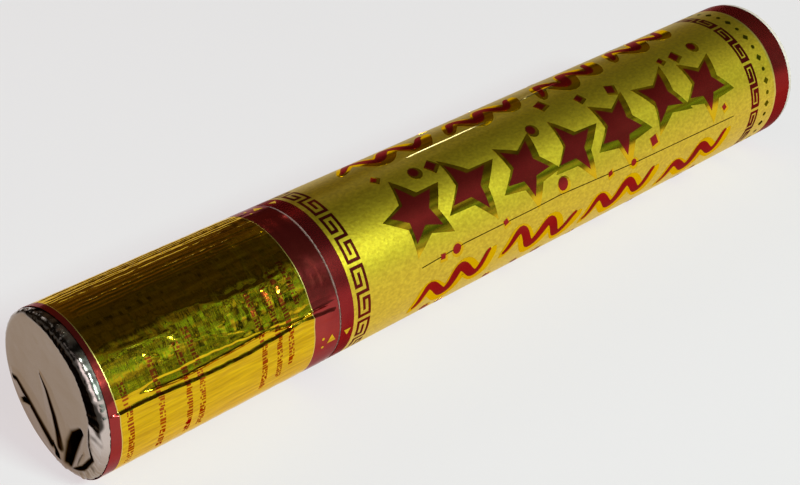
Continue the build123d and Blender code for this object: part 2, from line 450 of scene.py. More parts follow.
@dataclass(frozen=True)
class GlowingPaper(Finish):
    """Matt background paper that glows a little to what looks at it, but keeps a shadow."""

    name: str
    colour: str
    glow_colour: str
    glow: float

    def surface(self, add: AddNode) -> dict:
        """Let the paper glow for the camera and in mirrors and clear plastic; it has no pattern.

        Args:
            add: adds a node to the material.

        Returns:
            What each of the shader's inputs gets.
        """
        rays = add("LightPath").outputs
        seen = add("Math", {0: rays["Is Camera Ray"], 1: rays["Is Glossy Ray"]}, operation="MAXIMUM")
        shown = add("Math", {0: seen, 1: rays["Is Transmission Ray"]}, operation="MAXIMUM")
        glow = add("Math", {0: shown, 1: self.glow}, operation="MULTIPLY")
        return {"Base Color": linear(self.colour), "Roughness": 1.0, "Specular IOR Level": 0.0,
                "Emission Color": linear(self.glow_colour), "Emission Strength": glow}


# The gold is one lacquer in two surfaces: the handle and the print's surrounds are glossy, so they
# mirror the room, and the barrel's field has a satin coat, so it glows in a soft light.
GLOSS_GOLD = MetallisedFilm(
    "glossy_gold_film", "efc60c", "cea004", "f2d878", 0.08, 0.03, crinkle_width=1.4, crinkle_depth=0.055,
    crinkle_wrap=0.22, grain_width=0.5, grain_depth=0.006, patch_width=0.9, patch_stretch=0.08,
    coat=0.22, coat_roughness=0.12)
HALO_GOLD = MetallisedFilm("glossy_gold_print", "e6bd26", "dfb01c", "f0d470", 0.12, 0.04)
SATIN_GOLD = MetallisedFilm(
    "satin_gold_film", "e8c82c", "cda91a", "f0dc90", 0.44, 0.06, crinkle_width=9.0, crinkle_depth=0.03,
    grain_width=0.6, grain_depth=0.045, grain_stretch=0.7, patch_width=0.9, patch_stretch=0.7,
    coat=0.5, coat_roughness=0.34)
HANDLE_MAROON = MetallisedFilm(
    "maroon_ink_on_glossy_film", "a83832", "942828", "b87868", 0.2, crinkle_width=3.0, crinkle_depth=0.04,
    metallic=0.93, coat=0.25, coat_roughness=0.15)
BARREL_MAROON = MetallisedFilm(
    "maroon_ink_on_satin_film", "a23632", "8e2628", "b07064", 0.27, crinkle_depth=0.03, metallic=0.93)
KEY_MAROON = MetallisedFilm(
    "dark_maroon_ink_on_satin_film", "7c2420", "641a18", "a06458", 0.3, metallic=0.93)
PRINT_MAROON = MetallisedFilm("maroon_print_ink", "a8302c", "962424", "c07868", 0.24, metallic=0.93)
FINE_PRINT = MetallisedFilm(
    "brown_ink_on_glossy_film", "b4541e", "a04418", "c08050", 0.16, crinkle_width=1.4, crinkle_depth=0.055,
    crinkle_wrap=0.22)
PALE_LINE = MetallisedFilm("pale_gold_ink", "e8d078", "dec262", "f2e0a4", 0.36)
# Pale glossy strips on the barrel's creases: painted highlight, which a lamp also lights.
CREASE_PAINTED_GLINT = MetallisedFilm("crease_crest_painted_glint", "f4eab0", "ecdf98", "faf4d8", 0.12, 0.04)
OLIVE_INK = MetallisedFilm("olive_print_ink", "6e6416", "5c5410", "8c8440", 0.3)
# A dark strip along the overlap's edge: painted shadow under the edge.
LAP_PAINTED_SHADOW = MetallisedFilm("painted_overlap_shadow", "4a3408", "3a2806", "705820", 0.4, crinkle_width=4.0)
# The face colour is darker than the rim colour: partly the foil's own tint, partly painted shade. The fold
# colour is painted shade.
FOIL = AluminiumFoil("crumpled_aluminium_foil", "90775e", "d6c8c0", "1e1a12", 0.2)
WOUND_BOARD = PressedFibre("wound_board", "f4d8d2", "d8beb2", 0.25, 0.03, (0.2, 1.0, 1.0))
GREYBOARD = PressedFibre("greyboard", "b3aca0", "8d867a", 0.3, 0.04)
FELT = PressedFibre("pressed_felt", "a39a8c", "7d766a", 0.22, 0.12)
BOTTLE_PLASTIC = Moulding("milky_polyethylene", "e6e8e4", "d9dcd6", 0.34)
COLLAR_PLASTIC = Moulding("red_moulded_acetal", "a81c1a", "96161a", 0.4)
SEAL_RUBBER = Moulding("black_nitrile_rubber", "1c1c1d", "262627", 0.62, skin_depth=0.02)
PIN_STEEL = DrawnSteel("drawn_bright_steel", "c9cacb", "a9abad")
SLIP_PAPERS = (
    MetallicSlips("gold_metallic_paper", "e0b53c", "f0e0b0"),
    MetallicSlips("red_metallic_paper", "c4242c", "efc0c0"),
    MetallicSlips("green_metallic_paper", "2c8a44", "c4e4c8"),
    MetallicSlips("silver_metallic_paper", "d6d8dc", "f4f4f4"),
)
FLOOR_PAPER = GlowingPaper("pale_floor", "8c8c8c", "f0e9eb", 0.72)


@dataclass(frozen=True)
class TubeFrame:
    """Places a station and an angle on the outside of the tube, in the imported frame."""

    start_x: float
    axis_y: float
    axis_z: float
    radius: float

    @classmethod
    def from_frame(cls) -> "TubeFrame":
        """Read the tube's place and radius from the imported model.

        Returns:
            The tube's frame.
        """
        film_low, film_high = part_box("barrel_wrap")
        middle = (film_low + film_high) / 2
        return cls(CAD_BOX[0].x, middle.y, middle.z, (film_high.y - film_low.y) / 2 / MM)

    def point(self, station: float, angle: float, lift: float = 0.0) -> Vector:
        """Give a point on the tube.

        Args:
            station: distance from the base.
            angle: angle round the tube.
            lift: height above the tube's outer radius.

        Returns:
            The point, in metres.
        """
        turn = math.radians(angle)
        radius = (self.radius + lift) * MM
        return Vector((self.start_x + station * MM, self.axis_y - radius * math.cos(turn),
                       self.axis_z + radius * math.sin(turn)))

    def noise_place(self, station: float, angle: float) -> Vector:
        """Give a place on the tube in millimetres, where noise runs on without a seam."""
        turn = math.radians(angle)
        return Vector((station, self.radius * math.cos(turn), self.radius * math.sin(turn)))

    def outward(self, point: Vector) -> Vector:
        """Give the direction away from the tube's axis at a point."""
        return Vector((0.0, point.y - self.axis_y, point.z - self.axis_z)).normalized()

    def angle_of_arc(self, arc: float) -> float:
        """Turn a length round the tube into an angle."""
        return math.degrees(arc / self.radius)

    def arc_of_angle(self, angle: float) -> float:
        """Turn an angle into a length round the tube."""
        return math.radians(angle) * self.radius


TUBE = TubeFrame.from_frame()


def make_sheet(mesh_source: bmesh.types.BMesh, name: str, body: str,
               finishes: Sequence[Finish], thickness: float) -> bpy.types.Object:
    """Turn a bent sheet into a closed piece that rides on a body.

    Args:
        mesh_source: the sheet's outer face, which is freed.
        name: the piece's name.
        body: the body that it moves with.
        finishes: the finishes, in the order of the faces' material numbers.
        thickness: the sheet's thickness, inwards from its outer face.

    Returns:
        The new object.
    """
    bmesh.ops.solidify(mesh_source, geom=mesh_source.faces[:], thickness=thickness * MM)
    mesh = bpy.data.meshes.new(name)
    mesh_source.to_mesh(mesh)
    mesh_source.free()
    mesh.shade_smooth()
    mesh.set_sharp_from_angle(angle=math.radians(SHARP_ANGLE))
    for finish in finishes:
        mesh.materials.append(finish.material())
    piece = bpy.data.objects.new(name, mesh)
    bpy.context.scene.collection.objects.link(piece)
    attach(piece, body)
    return piece


@dataclass(frozen=True)
class Crease:
    """A fold line in film: a ridge with a crisp crest, whose two sides differ in width."""

    path: Path
    height: float
    below: float
    above: float
    wander: float = 0.0
    fade: float = 5.0
    wander_length: float = 2.5

    def lift(self, station: float, angle: float) -> float:
        """Give the fold's height at one place on the film.

        Args:
            station: distance from the base.
            angle: angle round the tube.

        Returns:
            The height in millimetres.
        """
        first, last = self.path[0][0], self.path[-1][0]
        if not first < station < last:
            return 0.0
        seed_place = Vector((station / self.wander_length, self.path[0][1], self.height))
        drift = self.wander * noise.noise(seed_place)
        gap = TUBE.arc_of_angle(wrapped(angle - between(self.path, station))) - drift
        side = self.above if gap > 0 else self.below
        if abs(gap) > side:
            return 0.0
        ends = smooth_step(first, first + self.fade, station) * smooth_step(last, last - self.fade, station)
        return self.height * (1 - abs(gap) / side) * ends


@dataclass(frozen=True)
class LooseCreases:
    """A scatter of small creases, whose places and sizes are drawn within ranges."""

    count: int
    stations: Range
    angles: Range
    lengths: Range
    drift: float
    below: Range
    above: Range
    heights: Range
    wander: float

    def crease(self, draw: random.Random, near: float, angle: float) -> Crease:
        """Draw one of the creases.

        Args:
            draw: the source of its differences.
            near: the station of its near end.
            angle: the angle of its near end.

        Returns:
            The crease.
        """
        far_end = near + draw.uniform(*self.lengths), angle + draw.uniform(-self.drift, self.drift)
        below, above = draw.uniform(*self.below), draw.uniform(*self.above)
        return Crease(((near, angle), far_end), draw.uniform(*self.heights), below, above, self.wander)


class Ink(Enum):
    """What a face of a film sheet carries; its value is the face's material number."""

    FIELD = 0
    BAND = 1
    FINE = 2
    LINE = 3


@dataclass
class FilmSheet:
    """A printed film bent round the tube, with its overlap closed. Its finishes are in the order of Ink."""

    name: str
    node: str
    body: str
    first: float
    last: float
    finishes: tuple[Finish, ...]
    band_edges: tuple[float, ...]
    row_step: float
    columns: int
    thickness: float = 0.08
    creases: list[Crease] = field(default_factory=list)

    def rows(self) -> list[float]:
        """Work out the stations of the sheet's rings, with a ring on each edge of a band.

        Returns:
            The stations, in rising order.
        """
        edges = sorted({self.first, *self.band_edges, self.last})
        stations = [edges[0]]
        for start, end in zip(edges, edges[1:]):
            count = max(1, round((end - start) / self.row_step))
            stations.extend(start + (end - start) * step / count for step in range(1, count + 1))
        return stations

    def column_angles(self) -> list[float]:
        """Give the angles of the sheet's columns, in rising order over one turn."""
        return [FULL_TURN * column / self.columns for column in range(self.columns)]

    def lean(self, station: float) -> float:
        """Give the angle by which the columns lean at a station; straight columns don't."""
        return 0.0

    def laid(self, station: float, angle: float) -> float:
        """Give the station at which a point of the flat film ends up; film that is cut square stays put."""
        return station

    def slack(self, station: float, angle: float) -> float:
        """Give the low waves of the loose film at one place."""
        raise NotImplementedError

    def ink(self, station: float, column: int) -> Ink:
        """Say what the film carries in one cell."""
        raise NotImplementedError

    def lift(self, station: float, angle: float) -> float:
        """Give the film's height over the tube at one place, from its waves and creases."""
        folds = sum(crease.lift(station, angle) for crease in self.creases)
        return self.slack(station, angle) + folds

    def build(self) -> bpy.types.Object:
        """Bend a flat grid round the tube and give its cells their inks.

        Returns:
            The sheet, in place of its solid.
        """
        stations, angles = self.rows(), self.column_angles()
        row_count, column_count = len(stations) - 1, len(angles)
        sheet = bmesh.new()
        bmesh.ops.create_grid(sheet, x_segments=row_count, y_segments=column_count, size=0.5)
        for cell in sheet.faces:
            centre = cell.calc_center_median()
            row, column = int((centre.x + 0.5) * row_count), int((centre.y + 0.5) * column_count)
            cell.material_index = self.ink((stations[row] + stations[row + 1]) / 2, column).value
        for vertex in sheet.verts:
            station = stations[round((vertex.co.x + 0.5) * row_count)]
            angle = angles[round((vertex.co.y + 0.5) * column_count) % column_count] + self.lean(station)
            station = self.laid(station, angle)
            vertex.co = TUBE.point(station, angle, self.lift(station, angle))
        bmesh.ops.remove_doubles(sheet, verts=sheet.verts[:], dist=WELD * MM)
        bmesh.ops.recalc_face_normals(sheet, faces=sheet.faces[:])
        sample = sheet.faces[:][0]
        if sample.normal.dot(TUBE.outward(sample.calc_center_median())) < 0:
            bmesh.ops.reverse_faces(sheet, faces=sheet.faces[:])
        piece = make_sheet(sheet, self.name, self.body, self.finishes, self.thickness)
        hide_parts(self.node)
        return piece


# The handle's film is loose: two sharp pleats along its side, thin ridges over them, and rucks on top.
# A path gives an angle for each station.
HANDLE_PLEAT: Path = (
    (2.6, 12.0), (9.6, 12.4), (17.5, 12.0), (23.3, 11.0), (28.1, 10.1), (37.4, 9.6), (47.5, 9.6),
    (52.8, 10.6), (58.1, 11.1), (66.0, 13.2), (70.4, 11.8), (79.0, 10.2))
UPPER_PLEAT: Path = (
    (12.0, 18.0), (19.1, 17.2), (23.8, 16.0), (31.5, 16.4), (45.5, 17.4), (54.2, 18.4), (59.7, 15.6),
    (66.1, 14.8), (70.9, 16.8), (79.0, 16.4))
HANDLE_RIDGE: Path = (
    (4.0, 21.5), (13.8, 21.2), (18.5, 22.8), (29.6, 22.3), (44.4, 21.5), (53.8, 19.7), (59.5, 18.6),
    (66.0, 16.8))
GLINT_LINE: Path = (
    (8.0, 47.0), (15.9, 46.3), (24.3, 45.2), (27.6, 39.5), (28.6, 34.0), (34.2, 33.5), (41.7, 28.6),
    (50.0, 23.5))
SHADE_LINE: Path = ((24.0, 57.0), (38.0, 53.5), (44.0, 48.5), (52.0, 47.0), (60.0, 46.5), (68.0, 48.5))
HANDLE_CREASES = (
    Crease(HANDLE_PLEAT, 0.8, 3.0, 0.75, 0.25, 2.0),
    Crease(UPPER_PLEAT, 0.4, 0.9, 0.45, 0.15),
    Crease(UPPER_PLEAT, 0.22, 0.5, 2.1, 0.15),
    Crease(HANDLE_RIDGE, 0.12, 0.4, 1.6, 0.4),
    Crease(GLINT_LINE, 0.1, 0.3, 1.4, 0.5),
    Crease(SHADE_LINE, 0.16, 4.2, 1.2, 0.9),
)
HIDDEN_FOLDS = LooseCreases(16, (3.0, 40.0), (135.0, 310.0), (18.0, 34.0), 6.0, (0.8, 2.0), (0.8, 2.0),
                            (0.08, 0.2), 0.8)

# Fields of small sharp dents that catch the light: their stations, their angles and how many.
FLECK_FIELDS = (((8.0, 46.0), (29.0, 45.0), 14), ((48.0, 69.0), (35.0, 48.0), 16))

# The film's near edge is cut askew: its station for each angle.
NEAR_EDGE: Path = (
    (-180.0, 2.2), (-60.0, 1.0), (-28.0, 0.95), (-11.0, 1.55), (3.0, 1.95), (19.0, 2.55), (34.0, 2.9),
    (55.0, 3.35), (72.0, 3.4), (90.0, 3.2), (113.0, 2.9), (180.0, 2.2))

# Each row of fine print has a station, a first angle and a last angle.
PRINT_ROWS = ((8.1, -36.0, 30.0), (18.0, -34.0, 38.0), (26.8, -32.0, 40.0), (31.1, -30.0, 46.0),
              (52.3, -26.0, 50.0), (57.6, -22.0, 46.0), (61.8, -16.0, 52.0), (66.4, 24.0, 54.0))

# The tiers that a mark of fine print fills, each as likely as the others.
PRINT_FILLINGS = ((0, 1, 2, 3), (0, 1, 2, 3), (0, 1, 3), (0, 1, 2), (0, 2, 3), (1, 2, 3))


@dataclass
class HandleFilm(FilmSheet):
    """The twist handle's film: glossy gold between a narrow and a broad maroon band.

    A zone is a first angle, a last angle and the width of the columns between them. A wave is a height
    and a width. Hoops are waves that run round the tube, and they are higher in the ribbed place.
    """

    name: str = "handle_film"
    node: str = "handle_wrap"
    body: str = "handle"
    first: float = 2.6
    last: float = 79.45
    finishes: tuple[Finish, ...] = (GLOSS_GOLD, HANDLE_MAROON, FINE_PRINT, PALE_LINE)
    base_band_end: float = 5.0
    line_width: float = 0.25
    seam_band_start: float = 70.3
    band_edges: tuple[float, ...] = ()
    row_step: float = 0.8
    columns: int = 0
    zones: tuple[Triple, ...] = (
        (-38.0, 0.0, 0.26), (0.0, 26.0, 0.18), (26.0, 62.0, 0.26), (62.0, 75.0, 0.5),
        (75.0, 124.0, 0.3), (124.0, 322.0, 1.0))
    broad_wave: Range = (0.06, 11.0)
    crumples: tuple[Range, ...] = ((0.05, 5.0), (0.035, 2.2))
    hoop_height: float = 0.12
    hoop_width: float = 3.4
    hoop_length: float = 11.0
    rib_gain: float = 1.6
    ribs_start: Range = (44.0, 52.0)
    ribs_bottom: Range = (24.0, 34.0)
    ribs_top: Range = (60.0, 50.0)
    ruck_count: int = 13
    ruck_angles: Range = (78.0, 122.0)
    ruck_jitter: float = 0.3
    ruck_starts: Range = (2.0, 8.0)
    ruck_middle: float = 40.0
    ruck_bend: float = 1.0
    ruck_ends: Range = (62.0, 76.0)
    ruck_lean: float = 1.5
    ruck_sides: Range = (0.5, 0.9)
    ruck_heights: Range = (0.1, 0.24)
    ruck_wander: float = 0.4
    fleck_length: float = 1.8
    fleck_drift: float = 0.5
    fleck_side: float = 0.7
    fleck_heights: Range = (0.12, 0.2)
    print_height: float = 1.9
    print_tiers: int = 4
    mark_widths: Range = (0.35, 0.8)
    mark_gaps: tuple[float, ...] = (0.2, 0.2, 0.26, 0.6)
    seed: int = 5
    marks: set[tuple[int, int, int]] = field(default_factory=set)

    def __post_init__(self) -> None:
        """Lay out the creases and the rows of fine print."""
        draw = random.Random(self.seed)
        self.columns = len(self.column_angles())
        self.lay_creases(draw)
        self.lay_print(draw)
        tier = self.print_height / self.print_tiers
        print_edges = [place - self.print_height / 2 + tier * step
                       for place, *_ in PRINT_ROWS for step in range(self.print_tiers + 1)]
        self.band_edges = (self.base_band_end, self.base_band_end + self.line_width,
                           self.seam_band_start - self.line_width, self.seam_band_start, *print_edges)

    def column_angles(self) -> list[float]:
        """Give the angles of the sheet's columns, close together where the film is folded.

        Returns:
            The angles, in rising order.
        """
        angles = []
        for start, end, step in self.zones:
            count = math.ceil(TUBE.arc_of_angle(end - start) / step)
            angles.extend(start + (end - start) * column / count for column in range(count))
        return angles

    def lean(self, station: float) -> float:
        """Let the columns run along the pleats."""
        return between(HANDLE_PLEAT, station) - HANDLE_PLEAT[0][1]

    def laid(self, station: float, angle: float) -> float:
        """Stretch the band at the base to the film's askew edge.

        Args:
            station: where a point is on the flat film.
            angle: its angle round the tube.

        Returns:
            The station at which it ends up.
        """
        if station >= self.base_band_end:
            return station
        share = (self.base_band_end - station) / (self.base_band_end - self.first)
        return self.base_band_end - share * (self.base_band_end - between(NEAR_EDGE, wrapped(angle)))

    def lay_creases(self, draw: random.Random) -> None:
        """Lay out the pleats, ridges, rucks and dents.

        Args:
            draw: the source of their small differences.
        """
        self.creases = list(HANDLE_CREASES)
        low, high = self.ruck_angles
        for ruck in range(self.ruck_count):
            place = ruck + draw.uniform(-self.ruck_jitter, self.ruck_jitter)
            angle = low + (high - low) * place / self.ruck_count
            near, far = draw.uniform(*self.ruck_starts), draw.uniform(*self.ruck_ends)
            bend = draw.uniform(-self.ruck_bend, self.ruck_bend)
            path = ((near, angle), (self.ruck_middle, angle + bend), (far, angle - self.ruck_lean))
            below, above = draw.uniform(*self.ruck_sides), draw.uniform(*self.ruck_sides)
            height = draw.uniform(*self.ruck_heights)
            self.creases.append(Crease(path, height, below, above, self.ruck_wander))
        side, fade = self.fleck_side, self.fleck_length / 2
        for stations, angles, count in FLECK_FIELDS:
            for _ in range(count):
                start, angle = draw.uniform(*stations), draw.uniform(*angles)
                end_angle = angle + draw.uniform(-self.fleck_drift, self.fleck_drift)
                path = ((start, angle), (start + self.fleck_length, end_angle))
                self.creases.append(Crease(path, draw.uniform(*self.fleck_heights), side, side, fade=fade))
        for _ in range(HIDDEN_FOLDS.count):
            angle, near = draw.uniform(*HIDDEN_FOLDS.angles), draw.uniform(*HIDDEN_FOLDS.stations)
            self.creases.append(HIDDEN_FOLDS.crease(draw, near, angle))

    def lay_print(self, draw: random.Random) -> None:
        """Lay out the rows of fine print as small broken marks.

        Args:
            draw: the source of the marks' widths and fillings.
        """
        arcs = [TUBE.arc_of_angle(angle) for angle in self.column_angles()]
        for line, (_, first_angle, last_angle) in enumerate(PRINT_ROWS):
            low, high = TUBE.arc_of_angle(first_angle), TUBE.arc_of_angle(last_angle)
            mark_end = next_start = low
            filling: tuple[int, ...] = ()
            for column, arc in enumerate(arcs):
                if low <= arc < high and arc >= next_start:
                    mark_end = arc + draw.uniform(*self.mark_widths)
                    next_start = mark_end + draw.choice(self.mark_gaps)
                    filling = draw.choice(PRINT_FILLINGS)
                if low <= arc < min(mark_end, high):
                    self.marks.update((line, column, tier) for tier in filling)

    def slack(self, station: float, angle: float) -> float:
        """Give the low waves of the loose film at one place.

        Args:
            station: distance from the base.
            angle: angle round the tube.

        Returns:
            The height in millimetres.
        """
        place = TUBE.noise_place(station, angle)
        height, width = self.broad_wave
        lift = FILM_CLEARANCE + height * noise.noise(place / width)
        for height, width in self.crumples:
            lift += height * abs(noise.noise(place / width))
        ribbed = smooth_step(*self.ribs_start, station) * smooth_step(*self.ribs_bottom, angle)
        ribbed *= smooth_step(*self.ribs_top, angle)
        hoop_place = (station / self.hoop_width, place.y / self.hoop_length, place.z / self.hoop_length)
        return lift + self.hoop_height * (1 + self.rib_gain * ribbed) * abs(noise.noise(hoop_place))

    def ink(self, station: float, column: int) -> Ink:
        """Say what the film carries in one cell.

        Args:
            station: the cell's middle.
            column: the cell's number round the tube.

        Returns:
            The ink.
        """
        if not self.base_band_end <= station <= self.seam_band_start:
            return Ink.BAND
        if not self.base_band_end + self.line_width <= station <= self.seam_band_start - self.line_width:
            return Ink.LINE
        for line, (place, *_) in enumerate(PRINT_ROWS):
            share = (station - place) / self.print_height + 0.5
            if 0 < share < 1 and (line, column, int(share * self.print_tiers)) in self.marks:
                return Ink.FINE
        return Ink.FIELD


@dataclass(frozen=True)
class GreekKey:
    """A border of separate double spirals, drawn as strokes on a grid of cells that runs round the tube.

    A stroke is its first and last cell round the tube, counted downwards from the spiral's upper edge,
    then its first and last cell along the tube. A swell makes the strokes wider, as a share of a cell.
    """

    start: float
    end: float
    upper_edge: float
    swell: float = 0.0
    spirals: int = 9
    rows: int = 5
    cells: int = 16
    strokes: tuple[tuple[int, int, int, int], ...] = (
        (0, 0, 0, 4), (0, 7, 4, 4), (0, 5, 0, 0), (5, 5, 0, 2), (2, 5, 2, 2), (7, 7, 0, 4),
        (7, 14, 0, 0), (14, 14, 0, 4), (9, 14, 4, 4), (9, 9, 2, 4), (9, 12, 2, 2),
    )

    def edges(self) -> list[float]:
        """Give the stations of the edges of its cells.

        Returns:
            The stations, in rising order.
        """
        row_width = (self.end - self.start) / self.rows
        spread = self.swell * row_width / 2
        inner = [self.start + row_width * row + (spread if row % 2 else -spread)
                 for row in range(1, self.rows)]
        return [self.start, *inner, self.end]

    def covers(self, station: float, angle: float) -> bool:
        """Say whether a stroke covers a place.

        Args:
            station: distance from the base.
            angle: angle round the tube.

        Returns:
            True on a stroke.
        """
        if not self.start < station < self.end:
            return False
        row = sum(edge < station for edge in self.edges()) - 1
        cell_angle = FULL_TURN / (self.spirals * self.cells)
        place = (self.upper_edge - angle) % FULL_TURN / cell_angle % self.cells
        return any(first - self.swell < place < last + 1 and low <= row <= high
                   for first, last, low, high in self.strokes)


NEAR_KEY = GreekKey(86.4, 91.4, 31.25)
FAR_KEY = GreekKey(272.3, 276.9, 38.75, 0.5)
NEAR_FOLD: Path = ((128.0, 90.0), (162.0, 90.4))
FAR_FOLD: Path = ((180.0, 97.8), (201.0, 97.4))
LAP_LINE: Path = ((112.0, 8.2), (130.0, 11.0), (160.0, 10.7), (172.0, 11.2), (211.0, 6.8), (262.0, 4.0))
BARREL_CREASES = (Crease(NEAR_FOLD, 0.15, 2.86, 1.0), Crease(FAR_FOLD, 0.3, 1.6, 1.0))
BARREL_DENTS = LooseCreases(9, (98.0, 120.0), (-24.0, 6.0), (8.0, 16.0), 5.0, (1.2, 2.4), (0.8, 1.4),
                            (0.03, 0.09), 0.6)
BARREL_FOLDS = LooseCreases(10, (95.0, 240.0), (125.0, 310.0), (15.0, 40.0), 4.0, (1.2, 2.4), (1.2, 2.4),
                            (0.06, 0.14), 0.6)


@dataclass
class BarrelFilm(FilmSheet):
    """The barrel's film: satin gold between two key borders, with a maroon band at each end.

    A wave is a height and a width. The lap is the raised edge of the film's overlap.
    """

    name: str = "barrel_film"
    node: str = "barrel_wrap"
    body: str = "barrel"
    first: float = 80.07
    last: float = 294.7
    finishes: tuple[Finish, ...] = (SATIN_GOLD, BARREL_MAROON, KEY_MAROON, PALE_LINE)
    seam_band_end: float = 84.9
    muzzle_line_start: float = 285.9
    muzzle_band_start: float = 286.7
    band_edges: tuple[float, ...] = ()
    row_step: float = 1.7
    columns: int = 288
    waves: tuple[Range, ...] = ((0.03, 22.0), (0.008, 7.0))
    lap_foot: float = 1.0
    lap_spread: float = 6.0
    lap_height: float = 0.14
    lap_fade: float = 12.0
    seed: int = 9

    def __post_init__(self) -> None:
        """Set the rings on the print's edges and lay out the creases."""
        self.band_edges = (self.seam_band_end, self.muzzle_line_start, self.muzzle_band_start,
                           *NEAR_KEY.edges(), *FAR_KEY.edges())
        draw = random.Random(self.seed)
        self.creases = list(BARREL_CREASES)
        for loose in (BARREL_DENTS, BARREL_FOLDS):
            for _ in range(loose.count):
                near, angle = draw.uniform(*loose.stations), draw.uniform(*loose.angles)
                self.creases.append(loose.crease(draw, near, angle))

    def slack(self, station: float, angle: float) -> float:
        """Give the low waves of the film and the raised edge of its overlap at one place.

        Args:
            station: distance from the base.
            angle: angle round the tube.

        Returns:
            The height in millimetres.
        """
        place = TUBE.noise_place(station, angle)
        waves = sum(height * noise.noise(place / width) for height, width in self.waves)
        return FILM_CLEARANCE + waves + self.overlap(station, angle)

    def overlap(self, station: float, angle: float) -> float:
        """Give the height of the overlap's edge, which sinks away above its line.

        Args:
            station: distance from the base.
            angle: angle round the tube.

        Returns:
            The height in millimetres.
        """
        above = TUBE.arc_of_angle(wrapped(angle - between(LAP_LINE, station)))
        height = self.lap_height * smooth_step(LAP_LINE[0][0], LAP_LINE[0][0] + self.lap_fade, station)
        if above < 0:
            return height * smooth_step(-self.lap_foot, 0.0, above)
        return height * (1 - smooth_step(0.0, self.lap_spread, above))

    def ink(self, station: float, column: int) -> Ink:
        """Say what the film carries in one cell.

        Args:
            station: the cell's middle.
            column: the cell's number round the tube.

        Returns:
            The ink.
        """
        if not self.seam_band_end <= station <= self.muzzle_band_start:
            return Ink.BAND
        if station > self.muzzle_line_start:
            return Ink.LINE
        angle = FULL_TURN * (column + 0.5) / self.columns
        if NEAR_KEY.covers(station, angle) or FAR_KEY.covers(station, angle):
            return Ink.FINE
        return Ink.FIELD


@dataclass(frozen=True)
class Stamp:
    """Where a motif goes on a sheet: its centre, its turn and its height over the film."""

    sheet: FilmSheet
    station: float
    arc: float
    turn: float
    height: float

    def press(self, shape: bmesh.types.BMesh, target: bmesh.types.BMesh) -> None:
        """Bend a flat shape onto the film and add it to a print.

        Args:
            shape: the flat shape in millimetres, which is freed.
            target: the print that it joins.
        """
        turned = Matrix.Rotation(math.radians(self.turn), 3, "Z")
        bmesh.ops.rotate(shape, verts=shape.verts[:], matrix=turned)
        bmesh.ops.translate(shape, verts=shape.verts[:], vec=(self.station, self.arc, 0.0))
        column = TUBE.arc_of_angle(FULL_TURN / self.sheet.columns)
        lowest, highest = (pick(vertex.co.y for vertex in shape.verts) for pick in (min, max))
        columns = range(math.ceil(lowest / column), math.floor(highest / column) + 1)
        self.cut(shape, Vector((0.0, 1.0, 0.0)), [column * step for step in columns])
        nearest, farthest = (pick(vertex.co.x for vertex in shape.verts) for pick in (min, max))
        rows = [row for row in self.sheet.rows() if nearest < row < farthest]
        self.cut(shape, Vector((1.0, 0.0, 0.0)), rows)
        for vertex in shape.verts:
            station, angle = vertex.co.x, TUBE.angle_of_arc(vertex.co.y)
            vertex.co = TUBE.point(station, angle, self.sheet.lift(station, angle) + self.height)
        shape.normal_update()
        for cell in shape.faces:
            if cell.normal.dot(TUBE.outward(cell.calc_center_median())) < 0:
                cell.normal_flip()
        pressed = bpy.data.meshes.new("pressed")
        shape.to_mesh(pressed)
        shape.free()
        target.from_mesh(pressed)
        bpy.data.meshes.remove(pressed)

    def cut(self, shape: bmesh.types.BMesh, axis: Vector, places: Sequence[float]) -> None:
        """Cut a flat shape along lines of the film's grid, so that the shape bends as the film does.

        Args:
            shape: the flat shape.
            axis: the axis that the lines cross squarely.
            places: where they cross it.
        """
        for place in places:
            everything = shape.verts[:] + shape.edges[:] + shape.faces[:]
            bmesh.ops.bisect_plane(shape, geom=everything, plane_co=axis * place, plane_no=axis,
                                   dist=CUT_SNAP)


def disc_shape(radius: float, sides: int) -> bmesh.types.BMesh:
    """Draw a flat disc, or a triangle or a diamond where it has few sides.

    Args:
        radius: radius to its corners.
        sides: how many sides it has.

    Returns:
        The disc, centred on the origin.
    """
    shape = bmesh.new()
    bmesh.ops.create_circle(shape, cap_ends=True, cap_tris=True, segments=sides, radius=radius)
    return shape


def star_shape(radius: float, points: int, waist: float) -> bmesh.types.BMesh:
    """Draw a flat star.

    Args:
        radius: radius to its points.
        points: how many points it has.
        waist: radius of its inner corners as a share of the outer radius.

    Returns:
        The star, centred on the origin.
    """
    shape = disc_shape(radius, 2 * points)
    rim = [vertex for vertex in shape.verts if vertex.co.length > radius / 2]
    rim.sort(key=lambda vertex: math.atan2(vertex.co.y, vertex.co.x))
    for vertex in rim[::2]:
        vertex.co *= waist
    return shape


def streamer_shape(length: float, width: float, swing: float, waves: float) -> bmesh.types.BMesh:
    """Draw a flat wavy streamer with narrow ends.

    Args:
        length: length from end to end.
        width: width at its middle.
        swing: height of its waves.
        waves: how many waves it has.

    Returns:
        The streamer, centred on the origin.
    """
    segments, end_share, fullness = 48, 0.25, 0.6
    shape = bmesh.new()
    bmesh.ops.create_grid(shape, x_segments=segments, y_segments=2, size=0.5)
    for vertex in shape.verts:
        run, side = vertex.co.x, vertex.co.y
        phase = 2 * math.pi * waves * run
        slope = math.atan2(swing * 2 * math.pi * waves * math.cos(phase), length)
        reach = side * width * (end_share + (1 - end_share) * math.cos(math.pi * run) ** fullness)
        vertex.co = (run * length - reach * math.sin(slope),
                     swing * math.sin(phase) + reach * math.cos(slope), 0.0)
    return shape


class Motif(Enum):
    """The kinds of large motif in the barrel's print."""

    STAR = "star"
    SPARKLE = "sparkle"
    STREAMER = "streamer"


# Each star's number of points, and its waist as a share of its radius.
STAR_FORMS = {Motif.STAR: (5, 0.48), Motif.SPARKLE: (4, 0.4)}


